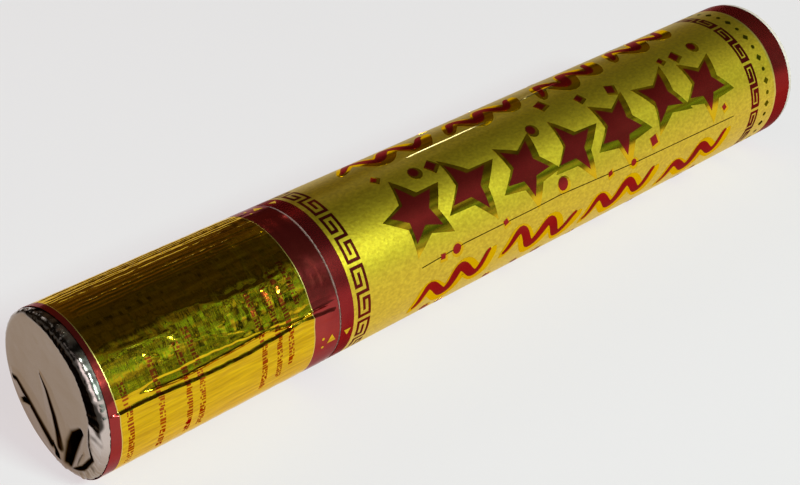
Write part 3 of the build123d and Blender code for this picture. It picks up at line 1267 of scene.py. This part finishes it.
@dataclass
class BarrelPrint:
    """The barrel's party print: maroon stars, streamers and confetti in glossy gold surrounds.

    Rows of stars and sparkles take turns with rows of streamers round the barrel. The places that are
    taken up are each a station, an arc and a radius.
    """

    sheet: BarrelFilm
    first: float = 106.0
    last: float = 262.0
    row_count: int = 6
    row_start: float = 44.0
    stars_in_row: int = 7
    streamers_in_row: int = 4
    station_jitter: float = 1.0
    arc_jitter: float = 2.4
    halo_lift: float = 0.04
    ink_lift: float = 0.08
    halo_margin: float = 1.9
    halo_waist: float = 0.03
    shadow_station: float = 0.7
    shadow_arc: float = -0.9
    star_radii: Range = (9.2, 10.6)
    star_turn: float = 36.0
    streamer_lengths: Range = (31.0, 35.0)
    streamer_swings: Range = (2.8, 3.6)
    streamer_turn: float = 9.0
    streamer_width: float = 3.6
    streamer_waves: float = 2.5
    streamer_shares: tuple[float, ...] = (-0.4, -0.2, 0.0, 0.2, 0.4)
    confetti_tries: int = 420
    confetti_radii: Triple = (1.3, 1.7, 2.2)
    confetti_sides: tuple[int, ...] = (4, 4, 12)
    confetti_margin: float = 0.8
    confetti_room: float = 1.2
    confetti_drop: float = 0.5
    seed: int = 21
    halo: bmesh.types.BMesh = field(default_factory=bmesh.new)
    ink: bmesh.types.BMesh = field(default_factory=bmesh.new)
    taken: list[Triple] = field(default_factory=list)

    def build(self) -> list[bpy.types.Object]:
        """Stamp the motifs and their surrounds round the barrel.

        Returns:
            The surrounds and the motifs.
        """
        draw = random.Random(self.seed)
        for row in range(self.row_count):
            arc = TUBE.arc_of_angle(self.row_start + FULL_TURN * row / self.row_count)
            count = self.streamers_in_row if row % 2 else self.stars_in_row
            pitch = (self.last - self.first) / count
            for place in range(count):
                kind = Motif.STREAMER if row % 2 else (Motif.STAR, Motif.SPARKLE)[(place + row // 2) % 2]
                station = (self.first + pitch * (place + 0.5)
                           + draw.uniform(-self.station_jitter, self.station_jitter))
                self.place(kind, station, arc + draw.uniform(-self.arc_jitter, self.arc_jitter), draw)
        for _ in range(self.confetti_tries):
            self.scatter(draw)
        return [make_sheet(mesh, name, "barrel", [finish], INK_THICKNESS)
                for name, mesh, finish in (("barrel_print_surrounds", self.halo, HALO_GOLD),
                                           ("barrel_print_motifs", self.ink, PRINT_MAROON))]

    def press(self, place: Triple, drop: float, surround: bmesh.types.BMesh,
              motif: bmesh.types.BMesh) -> None:
        """Stamp a motif over its surround.

        Args:
            place: the station, the arc and the turn of the motif.
            drop: how far the surround is shifted, as a share of the full shift.
            surround: the surround's flat shape, which is freed.
            motif: the motif's flat shape, which is freed.
        """
        station, arc, turn = place
        under = station + self.shadow_station * drop, arc + self.shadow_arc * drop
        Stamp(self.sheet, *under, turn, self.halo_lift).press(surround, self.halo)
        Stamp(self.sheet, station, arc, turn, self.ink_lift).press(motif, self.ink)

    def place(self, kind: Motif, station: float, arc: float, draw: random.Random) -> None:
        """Stamp one large motif and its surround, and note the places that it takes up.

        Args:
            kind: which motif.
            station: its centre along the tube.
            arc: its centre round the tube.
            draw: the source of its small differences.
        """
        margin = 2 * self.halo_margin
        if kind is Motif.STREAMER:
            turn = draw.uniform(-self.streamer_turn, self.streamer_turn)
            length, swing = draw.uniform(*self.streamer_lengths), draw.uniform(*self.streamer_swings)
            width, waves = self.streamer_width, self.streamer_waves
            surround = streamer_shape(length + margin, width + margin, swing, waves)
            motif = streamer_shape(length, width, swing, waves)
            self.press((station, arc, turn), 1.0, surround, motif)
            self.taken.extend((station + length * share, arc, swing + width)
                              for share in self.streamer_shares)
            return
        turn = draw.uniform(-self.star_turn, self.star_turn)
        points, waist = STAR_FORMS[kind]
        radius = draw.uniform(*self.star_radii)
        self.press((station, arc, turn), 1.0, star_shape(radius + margin, points, waist + self.halo_waist),
                   star_shape(radius, points, waist))
        self.taken.append((station, arc, radius))

    def scatter(self, draw: random.Random) -> None:
        """Stamp one confetti bit where there is room for it.

        Args:
            draw: the source of its place and kind.
        """
        around = TUBE.arc_of_angle(FULL_TURN)
        radius, sides = draw.choice(self.confetti_radii), draw.choice(self.confetti_sides)
        station, arc = draw.uniform(self.first, self.last), draw.uniform(0.0, around)
        turn = draw.uniform(0.0, FULL_TURN / 4)
        for other_station, other_arc, other_radius in self.taken:
            gap = (arc - other_arc + around / 2) % around - around / 2
            if math.hypot(station - other_station, gap) < other_radius + radius + self.confetti_room:
                return
        self.taken.append((station, arc, radius + self.confetti_room))
        surround = disc_shape(radius + self.confetti_margin, sides)
        self.press((station, arc, turn), self.confetti_drop, surround, disc_shape(radius, sides))


@dataclass
class SmallMarks:
    """Small print on both films: twist marks on the seam's bands and a beaded row, and thin strips of
    painted shadow and painted highlight along the overlap's edge and two creases.

    A mark or a dot is a station and a radius, and a bead is a number of sides and a radius.
    """

    handle_sheet: HandleFilm
    barrel_sheet: BarrelFilm
    mark_lift: float = 0.05
    mark_angles: Triple = (-12.0, 108.0, 228.0)
    handle_mark: Range = (76.6, 1.9)
    barrel_mark: Range = (82.6, 1.5)
    mark_sides: int = 3
    dot: Range = (73.4, 0.5)
    dot_offset: float = 1.6
    dot_sides: int = 8
    bead_station: float = 281.7
    bead_count: int = 36
    beads: tuple[tuple[int, float], ...] = ((4, 1.35), (10, 0.8))
    lap_shadow_width: float = 0.3
    crest_offset: float = -0.5
    crest_width: float = 0.35
    line_step: float = 1.4

    def build(self) -> list[bpy.types.Object]:
        """Stamp the marks on each film.

        Returns:
            The pieces of print, and the strips of painted shadow and painted highlight.
        """
        handle_marks, barrel_marks, beads, lap, crests = (bmesh.new() for _ in range(5))
        for angle in self.mark_angles:
            arc = TUBE.arc_of_angle(angle)
            for sheet, (station, radius), turn, target in (
                    (self.handle_sheet, self.handle_mark, 0.0, handle_marks),
                    (self.barrel_sheet, self.barrel_mark, FULL_TURN / 2, barrel_marks)):
                mark = disc_shape(radius, self.mark_sides)
                Stamp(sheet, station, arc, turn, self.mark_lift).press(mark, target)
            station, radius = self.dot
            for offset in (-self.dot_offset, self.dot_offset):
                dot = disc_shape(radius, self.dot_sides)
                Stamp(self.handle_sheet, station, arc + offset, 0.0, self.mark_lift).press(dot, handle_marks)
        for bead in range(self.bead_count):
            arc = TUBE.arc_of_angle(FULL_TURN * bead / self.bead_count)
            sides, radius = self.beads[bead % len(self.beads)]
            Stamp(self.barrel_sheet, self.bead_station, arc, 0.0, self.mark_lift).press(
                disc_shape(radius, sides), beads)
        # A dark strip along the overlap's edge: painted shadow.
        self.draw_line(LAP_LINE, 0.0, self.lap_shadow_width, lap)
        # Pale glossy strips along the two creases: painted highlight, also lit by the back strip lamp.
        for fold in (NEAR_FOLD, FAR_FOLD):
            self.draw_line(fold, self.crest_offset, self.crest_width, crests)
        return [make_sheet(mesh, name, body, [finish], INK_THICKNESS)
                for name, mesh, body, finish in (
                    ("handle_twist_marks", handle_marks, "handle", GLOSS_GOLD),
                    ("barrel_twist_marks", barrel_marks, "barrel", GLOSS_GOLD),
                    ("muzzle_bead_row", beads, "barrel", OLIVE_INK),
                    ("film_crease_painted_glints", crests, "barrel", CREASE_PAINTED_GLINT),
                    ("film_overlap_painted_shadow", lap, "barrel", LAP_PAINTED_SHADOW))]

    def draw_line(self, path: Path, offset: float, width: float, target: bmesh.types.BMesh) -> None:
        """Draw a thin strip on the barrel's film, such as the painted shadow along its overlap's edge.

        Args:
            path: the line's angle at each station.
            offset: how far above the path it runs.
            width: its width.
            target: the mesh that it joins.
        """
        start, end = path[0][0], path[-1][0]
        strip = bmesh.new()
        segments = round((end - start) / self.line_step)
        bmesh.ops.create_grid(strip, x_segments=segments, y_segments=1, size=0.5)
        for vertex in strip.verts:
            station = start + (end - start) * (vertex.co.x + 0.5)
            arc = TUBE.arc_of_angle(between(path, station)) + offset + vertex.co.y * width
            vertex.co = (station, arc, 0.0)
        Stamp(self.barrel_sheet, 0.0, 0.0, 0.0, self.mark_lift).press(strip, target)


@dataclass(frozen=True)
class Fold:
    """A fold in the foil over the base: a ridge or a dent, with painted shade along its middle.

    Each point of its path is a place across, a place up and the half width of its painted shade there.
    """

    path: tuple[Triple, ...]
    height: float
    shade: float = 0.9
    spread: float = 3.0
    crispness: float = 0.7
    dark_edge: float = 1.1

    def darkness(self, across: float, up: float) -> float:
        """Give the fold's painted shade at a place."""
        return self.shade * (1 - smooth_step(self.crispness, self.dark_edge, self.reach(across, up)))

    def reach(self, across: float, up: float) -> float:
        """Give a place's distance from the fold as a share of the fold's half width.

        Args:
            across: distance from the axis along +Y.
            up: distance from the axis along +Z.

        Returns:
            0 on the fold's line and 1 at the edge of its painted shade.
        """
        nearest = math.inf
        for (*start, start_width), (*end, end_width) in zip(self.path, self.path[1:]):
            run, offset = Vector(end) - Vector(start), Vector((across, up)) - Vector(start)
            share = min(1.0, max(0.0, offset.dot(run) / run.length_squared))
            width = start_width + (end_width - start_width) * share
            nearest = min(nearest, (offset - run * share).length / width)
        return nearest


@dataclass
class BaseFoil:
    """The foil over the base: a dished, folded face, a crumpled rim and a skirt under the film.

    A path gives a value for each angle: the face's radius, and the rim's painted light and painted shade.
    A wave is a height and a width.
    """

    dish_depth: float = 0.36
    dish_start: float = 12.0
    land_inner: float = 22.4
    land_fade: float = 1.2
    rim_radius: float = 1.8
    rim_blend: Range = (-0.3, 0.5)
    skirt_radius: float = 24.72
    skirt_stations: Triple = (2.2, 2.7, 6.0)
    skirt_hidden: Range = (1.9, 2.5)
    highest_station: float = -0.25
    deepest_station: float = 0.86
    ring_step: float = 0.4
    rim_steps: int = 14
    spokes: int = 320
    thickness: float = 0.05
    face_wave: Range = (0.07, 6.0)
    pleat_count: int = 76
    pleat_width: float = 2.3
    pleat_jitter: float = 0.45
    pleat_heights: Range = (0.05, 0.42)
    pleat_share: float = 0.65
    pleat_wave: Range = (0.7, 2.4)
    crumple_wave: Range = (0.16, 1.2)
    seed: int = 3
    streak_width: float = 2.4
    streak_length: float = 4.0
    streak_darkness: float = 0.5
    inner_darkness: float = 1.2
    darkness_range: Range = (-0.2, 0.4)
    darkest: float = 0.93
    face_edge: Path = (
        (-180.0, 24.3), (-110.0, 24.2), (-70.0, 22.6), (-45.0, 20.0), (-21.0, 18.1), (-2.0, 17.3),
        (21.0, 17.4), (46.0, 19.2), (61.0, 19.6), (80.0, 21.0), (98.0, 22.4), (115.0, 24.0), (180.0, 24.3))
    rim_painted_light: Path = (
        (-180.0, 0.1), (-60.0, 0.0), (-40.0, 0.1), (-20.0, 0.5), (-5.0, 0.9), (110.0, 1.0), (150.0, 0.3),
        (180.0, 0.2))
    rim_painted_shade: Path = (
        (-180.0, -1.5), (-40.0, -1.5), (2.0, -1.2), (10.0, -0.2), (20.0, -0.2), (28.0, -0.6), (50.0, -0.6),
        (58.0, 0.1), (105.0, 0.2), (125.0, -0.3), (160.0, -1.5), (180.0, -1.5))
    # Each fold's shade is painted shade in the foil's colour; its height is real relief.
    folds: tuple[Fold, ...] = (
        Fold(((5.7, 4.4, 0.3), (3.2, 0.2, 1.0), (1.0, -7.0, 1.6), (-0.6, -16.7, 2.0)),
             0.3, 0.85, crispness=0.4),
        Fold(((2.8, -16.6, 0.3), (1.4, -20.0, 1.3), (1.4, -22.9, 1.7)), 0.3, 0.95, 1.6),
        Fold(((24.2, -4.7, 1.1), (18.9, -4.3, 1.1), (14.7, -8.4, 1.6), (10.4, -12.5, 1.6),
              (4.0, -17.8, 2.0)), 0.35, 0.85, crispness=0.4),
        Fold(((22.1, -9.2, 0.6), (21.2, -11.5, 1.5), (20.5, -12.0, 0.8)), -0.4, 0.95, 1.6),
        Fold(((18.6, -11.6, 0.6), (16.0, -10.2, 1.3), (14.6, -10.4, 0.8)), -0.4, 0.95, 1.6),
        Fold(((-11.8, -5.5, 1.6), (-8.4, -9.5, 3.0), (-5.9, -14.0, 3.2), (-2.9, -22.0, 2.3)),
             -0.5, 0.93, 1.25, 0.45),
        Fold(((-17.5, -0.4, 0.3), (-16.5, -7.2, 0.5), (-17.6, -10.7, 1.0), (-12.2, -17.0, 1.1),
              (-3.6, -23.2, 0.6)), 0.35, 0.9, crispness=0.5),
        Fold(((-12.6, -12.0, 0.2), (-10.4, -15.4, 0.4), (-9.0, -18.0, 0.2)), 0.3, 0.5),
        Fold(((6.0, 15.0, 0.1), (16.0, 8.0, 0.1)), 0.08, 0.0, 20.0),
    )

    def profile(self) -> list[Range]:
        """Give the smooth foil's section, from its centre to its skirt's end.

        Returns:
            The section's points, each a station and a radius.
        """
        ring_count = round(self.land_inner / self.ring_step)
        points = [(0.0, self.land_inner * ring / ring_count) for ring in range(ring_count + 1)]
        rim_centre = self.skirt_radius - self.rim_radius
        for step in range(self.rim_steps + 1):
            turn = math.pi / 2 * step / self.rim_steps
            points.append((self.rim_radius * (1 - math.cos(turn)),
                           rim_centre + self.rim_radius * math.sin(turn)))
        return points + [(station, self.skirt_radius) for station in self.skirt_stations]

    def pleat(self, angle: float, crests: Sequence[Range]) -> float:
        """Give the height of the rim's pleats at one angle.

        Args:
            angle: angle round the rim.
            crests: the angle and the height of each pleat's crest.

        Returns:
            The height in millimetres.
        """
        return max(height * max(0.0, 1 - abs(wrapped(angle - crest)) / self.pleat_width)
                   for crest, height in crests)

    def build(self) -> bpy.types.Object:
        """Spin the section, then fold its face and pleat its rim.

        Returns:
            The foil, in place of its solid.
        """
        draw = random.Random(self.seed)
        crests = []
        for pleat in range(self.pleat_count):
            place = pleat + draw.uniform(-self.pleat_jitter, self.pleat_jitter)
            crests.append((FULL_TURN * place / self.pleat_count, draw.uniform(*self.pleat_heights)))
        foil = bmesh.new()
        shade_layer = foil.verts.layers.float.new(FOLD_SHADE)
        rim_layer = foil.verts.layers.float.new(RIM_SHARE)
        chain = [foil.verts.new(Vector((station, -radius, 0.0))) for station, radius in self.profile()]
        for first, second in zip(chain, chain[1:]):
            foil.edges.new((first, second))
        bmesh.ops.spin(foil, geom=foil.verts[:] + foil.edges[:], cent=(0, 0, 0), axis=(1, 0, 0),
                       angle=2 * math.pi, steps=self.spokes, use_merge=True)
        bmesh.ops.remove_doubles(foil, verts=foil.verts[:], dist=WELD)
        for vertex in foil.verts:
            vertex.co, vertex[shade_layer], vertex[rim_layer] = self.crumple(vertex.co.copy(), crests)
        bmesh.ops.recalc_face_normals(foil, faces=foil.faces[:])
        outermost = min(foil.faces, key=lambda cell: cell.calc_center_median().x)
        if outermost.normal.x > 0:
            bmesh.ops.reverse_faces(foil, faces=foil.faces[:])
        piece = make_sheet(foil, "base_foil_cover", "handle", [FOIL], self.thickness)
        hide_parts("base_foil")
        return piece

    def crumple(self, place: Vector, crests: Sequence[Range]) -> tuple[Vector, float, float]:
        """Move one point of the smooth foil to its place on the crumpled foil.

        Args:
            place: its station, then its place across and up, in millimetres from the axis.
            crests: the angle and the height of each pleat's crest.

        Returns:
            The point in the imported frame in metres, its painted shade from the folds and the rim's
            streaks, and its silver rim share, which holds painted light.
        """
        station, across, up = place
        radius, angle = math.hypot(across, up), math.degrees(math.atan2(up, -across))
        edge = between(self.face_edge, wrapped(angle))
        in_rim = smooth_step(edge + self.rim_blend[0], edge + self.rim_blend[1], radius)
        on_face = 1 - smooth_step(self.land_inner - self.land_fade, self.land_inner, radius)
        shade = relief = 0.0
        if on_face:
            for fold in self.folds:
                shade = max(shade, on_face * fold.darkness(across, up))
                relief += fold.height * max(0.0, 1 - fold.reach(across, up) / fold.spread)
            height, width = self.face_wave
            relief += height * abs(noise.noise(place / width))
        dish = self.dish_depth * (1 - smooth_step(self.dish_start, self.land_inner, radius))
        shown = in_rim * (1 - smooth_step(*self.skirt_hidden, station))
        height, width = self.pleat_wave
        broken = self.pleat_share + height * noise.noise(place / width)
        height, width = self.crumple_wave
        bump = shown * (self.pleat(angle, crests) * broken + height * abs(noise.noise(place / width)))
        rim_centre = self.skirt_radius - self.rim_radius
        tilt = math.asin(min(1.0, max(0.0, (radius - rim_centre) / self.rim_radius)))
        # Painted shade on the rim: dark streaks on its top and front and over its inner part, a painted
        # reflection of a dark room.
        arc = TUBE.arc_of_angle(angle)
        streak = noise.noise((arc / self.streak_width, radius / self.streak_length, tilt))
        darkness = (between(self.rim_painted_shade, wrapped(angle)) + self.inner_darkness * math.cos(tilt) ** 2
                    + self.streak_darkness * streak)
        shade = max(shade, self.darkest * in_rim * smooth_step(*self.darkness_range, darkness))
        station = station + dish - relief * on_face - bump * math.cos(tilt)
        station = min(max(station, self.highest_station), max(self.deepest_station, place.x))
        radius = min(radius + bump * math.sin(tilt), TUBE.radius)
        # The rim's silver tint gives way to the face's darker tint at its bottom and back: painted light and
        # shade.
        bright = in_rim * between(self.rim_painted_light, wrapped(angle))
        return TUBE.point(station, angle, radius - TUBE.radius), shade, bright


NODE_FINISHES: dict[str, Finish] = {
    "barrel_tube": WOUND_BOARD, "handle_tube": WOUND_BOARD, "coupler_sleeve": WOUND_BOARD,
    "base_disc": GREYBOARD, "muzzle_disc": GREYBOARD, "wad": FELT,
    "air_bottle": BOTTLE_PLASTIC, "key_collar": COLLAR_PLASTIC, "release_stopper": COLLAR_PLASTIC,
    "filling_valve": SEAL_RUBBER, "stopper_ring": SEAL_RUBBER, "cross_pin": PIN_STEEL,
}


@dataclass
class InnerWorks:
    """The solids that keep their shape: tubes, discs, the release and the confetti."""

    replaced: tuple[str, ...] = ("barrel_wrap", "handle_wrap", "base_foil")
    sides: tuple[str, ...] = ("left", "right", "top", "bottom")
    tiers: int = 3
    made: dict[str, bpy.types.Material] = field(default_factory=dict)

    def dress(self) -> list[bpy.types.Object]:
        """Give each kept solid the material of its finish.

        Returns:
            The solids.
        """
        finishes = NODE_FINISHES | self.bundle_papers()
        kept = {name: solid for name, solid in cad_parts.items() if name not in self.replaced}
        for name, solid in kept.items():
            finish = finishes[name]
            if finish.name not in self.made:
                self.made[finish.name] = finish.material()
            solid.data.materials.clear()
            solid.data.materials.append(self.made[finish.name])
        return list(kept.values())

    def bundle_papers(self) -> dict[str, Finish]:
        """Give each confetti bundle its paper; the colours move round by one from tier to tier."""
        return {f"confetti_{tier + 1}_{side}": SLIP_PAPERS[(tier + turn) % len(SLIP_PAPERS)]
                for tier in range(self.tiers) for turn, side in enumerate(self.sides)}


@dataclass(frozen=True)
class SoftLamp:
    """A flat lamp that faces the tube from a direction. Its distance and its sides are metres."""

    name: str
    towards: Triple
    distance: float
    width: float
    height: float
    watts: float
    colour: Triple
    aim_station: float = 150.0

    def build(self) -> None:
        """Hang the lamp and point it at the tube."""
        data = bpy.data.lights.new(self.name, "AREA")
        data.shape = "RECTANGLE"
        data.size = self.width
        data.size_y = self.height
        data.energy = self.watts
        data.color = self.colour
        lamp = bpy.data.objects.new(self.name, data)
        direction = Vector(self.towards).normalized()
        aim = Vector((TUBE.start_x + self.aim_station * MM, TUBE.axis_y, TUBE.axis_z))
        lamp.location = aim + direction * self.distance
        lamp.rotation_euler = direction.to_track_quat("Z", "Y").to_euler()
        bpy.context.scene.collection.objects.link(lamp)


@dataclass
class Studio:
    """The pale floor, the lamps, the dim room and the camera. Its lengths are metres.

    The room's lights are linear colours. An edge says how far a direction has to point to the window,
    the muzzle or the back, as a share, to start and to end the change from one light to the next.
    """

    floor_side: float = 8.0
    floor_cells: int = 8
    lens: float = 70.74
    sensor_width: float = 36.0
    clip_start: float = 0.01
    camera_place: Triple = (-0.3060, -0.3084, 0.2816)
    camera_right: Triple = (0.7365, -0.6764, 0.0)
    camera_up: Triple = (0.3581, 0.3898, 0.8484)
    camera_back: Triple = (-0.5739, -0.6248, 0.5293)
    window_towards: Triple = (0.30, -0.90, 0.30)
    window_edge: Range = (0.62, 0.99)
    muzzle_edge: Range = (0.45, 0.75)
    back_edge: Range = (0.35, 0.8)
    room_light: Colour = (0.026, 0.020, 0.015, 1.0)
    muzzle_light: Colour = (0.070, 0.075, 0.055, 1.0)
    wall_light: Colour = (0.075, 0.045, 0.022, 1.0)
    leaf_light: Colour = (0.14, 0.31, 0.22, 1.0)
    sky_light: Colour = (0.24, 0.24, 0.30, 1.0)
    horizon_light: Colour = (0.72, 0.73, 0.73, 1.0)
    horizon_shift: float = -0.06
    lamps: tuple[SoftLamp, ...] = (
        SoftLamp("side_window", (0.10, -0.80, 0.59), 2.0, 0.35, 0.35, 38.0, (0.72, 1.0, 0.90), 100.0),
        SoftLamp("left_softbox", (-0.88, -0.32, 0.33), 1.0, 0.8, 0.8, 2.8, (1.0, 0.95, 0.98)),
        SoftLamp("rim_card", (-0.08, -0.64, 0.76), 1.0, 0.3, 0.3, 0.9, (1.0, 0.98, 1.0)),
        SoftLamp("back_softbox", (-0.3, 0.77, 0.56), 1.0, 0.3, 0.3, 0.8, (0.95, 0.98, 1.0)),
        SoftLamp("back_strip", (0.575, 0.570, 0.586), 1.0, 0.14, 0.06, 0.1, (1.0, 1.0, 0.9)),
        SoftLamp("muzzle_softbox", (0.97, -0.1, 0.2), 1.0, 0.4, 0.4, 0.7, (1.0, 0.98, 0.95)),
    )

    def build(self) -> None:
        """Build the whole studio."""
        self.build_floor()
        self.build_room()
        for lamp in self.lamps:
            lamp.build()
        self.build_camera()
        bpy.context.scene.view_settings.view_transform = "Standard"

    def build_floor(self) -> None:
        """Lay the floor."""
        floor_mesh = bmesh.new()
        bmesh.ops.create_grid(floor_mesh, x_segments=self.floor_cells, y_segments=self.floor_cells,
                              size=self.floor_side / 2)
        mesh = bpy.data.meshes.new("floor")
        floor_mesh.to_mesh(mesh)
        floor_mesh.free()
        mesh.materials.append(FLOOR_PAPER.material())
        floor = bpy.data.objects.new("floor", mesh)
        bpy.context.scene.collection.objects.link(floor)

    def build_room(self) -> None:
        """Paint the room: pale at the horizon, dim overhead, a warm wall behind and leafy light in front."""
        world = bpy.data.worlds.new("room")
        bpy.context.scene.world = world
        world.use_nodes = True
        tree = world.node_tree
        tree.nodes.clear()
        add = partial(add_node, tree)
        direction = add("TexCoord").outputs["Generated"]
        axes = add("SeparateXYZ", {0: direction}).outputs
        facing = add("VectorMath", {0: direction, 1: Vector(self.window_towards).normalized()},
                     operation="DOT_PRODUCT")
        window, muzzle_side, behind = (
            add("MapRange", {"Value": share, "From Min": low, "From Max": high},
                interpolation_type="SMOOTHSTEP")
            for share, (low, high) in ((facing, self.window_edge), (axes["X"], self.muzzle_edge),
                                       (axes["Y"], self.back_edge)))
        shade = add("Mix", {FACTOR: muzzle_side, FIRST: self.room_light, SECOND: self.muzzle_light},
                    data_type="RGBA")
        warmed = add("Mix", {FACTOR: behind, FIRST: shade, SECOND: self.wall_light}, data_type="RGBA")
        leaves = add("TexNoise", {"Vector": direction, "Scale": 8.0, "Detail": 5.0, "Roughness": 0.7})
        lit_leaves = add("MapRange", {"Value": leaves, "From Min": 0.43, "From Max": 0.70,
                                      "To Min": 0.03, "To Max": 3.6})
        clumps = add("TexNoise", {"Vector": direction, "Scale": 11.0, "Detail": 3.0})
        kinds = add("MapRange", {"Value": clumps, "From Min": 0.42, "From Max": 0.58})
        foliage = add("Mix", {FACTOR: kinds, FIRST: self.leaf_light, SECOND: self.sky_light},
                      data_type="RGBA")
        dapple = add("MapRange", {"Value": leaves, "From Min": 0.38, "From Max": 0.66,
                                  "To Min": 0.4, "To Max": 2.2})
        view, dim_wall = (
            add("Mix", {FACTOR: 1.0, FIRST: light, SECOND: pattern}, data_type="RGBA", blend_type="MULTIPLY")
            for light, pattern in ((foliage, lit_leaves), (warmed, dapple)))
        walls = add("Mix", {FACTOR: window, FIRST: dim_wall, SECOND: view}, data_type="RGBA")
        height = add("Math", {0: behind, 1: self.horizon_shift, 2: axes["Z"]}, operation="MULTIPLY_ADD")
        horizon = add("MapRange", {"Value": height, "From Min": 0.02, "From Max": 0.07,
                                   "To Min": 1.0, "To Max": 0.0}, interpolation_type="SMOOTHSTEP")
        room = add("Mix", {FACTOR: horizon, FIRST: walls, SECOND: self.horizon_light}, data_type="RGBA")
        add("OutputWorld", {"Surface": add("Background", {"Color": room})})

    def build_camera(self) -> None:
        """Set the camera where it was fitted to the tube's outline and bands."""
        data = bpy.data.cameras.new("camera")
        data.lens = self.lens
        data.sensor_width = self.sensor_width
        data.clip_start = self.clip_start
        camera = bpy.data.objects.new("camera", data)
        turn = Matrix((self.camera_right, self.camera_up, self.camera_back)).transposed()
        camera.matrix_world = Matrix.Translation(self.camera_place) @ turn.to_4x4()
        bpy.context.scene.collection.objects.link(camera)
        bpy.context.scene.camera = camera


def main() -> None:
    """Build and dress the whole popper in its studio, and report each piece."""
    logging.basicConfig(level=logging.INFO, format="%(name)s: %(message)s")
    handle_sheet, barrel_sheet = HandleFilm(), BarrelFilm()
    pieces = [
        handle_sheet.build(),
        barrel_sheet.build(),
        *BarrelPrint(barrel_sheet).build(),
        *SmallMarks(handle_sheet, barrel_sheet).build(),
        BaseFoil().build(),
        *InnerWorks().dress(),
    ]
    for piece in pieces:
        LOG.info("%s: %d faces", piece.name, len(piece.data.polygons))
    Studio().build()


if __name__ == "__main__":
    main()
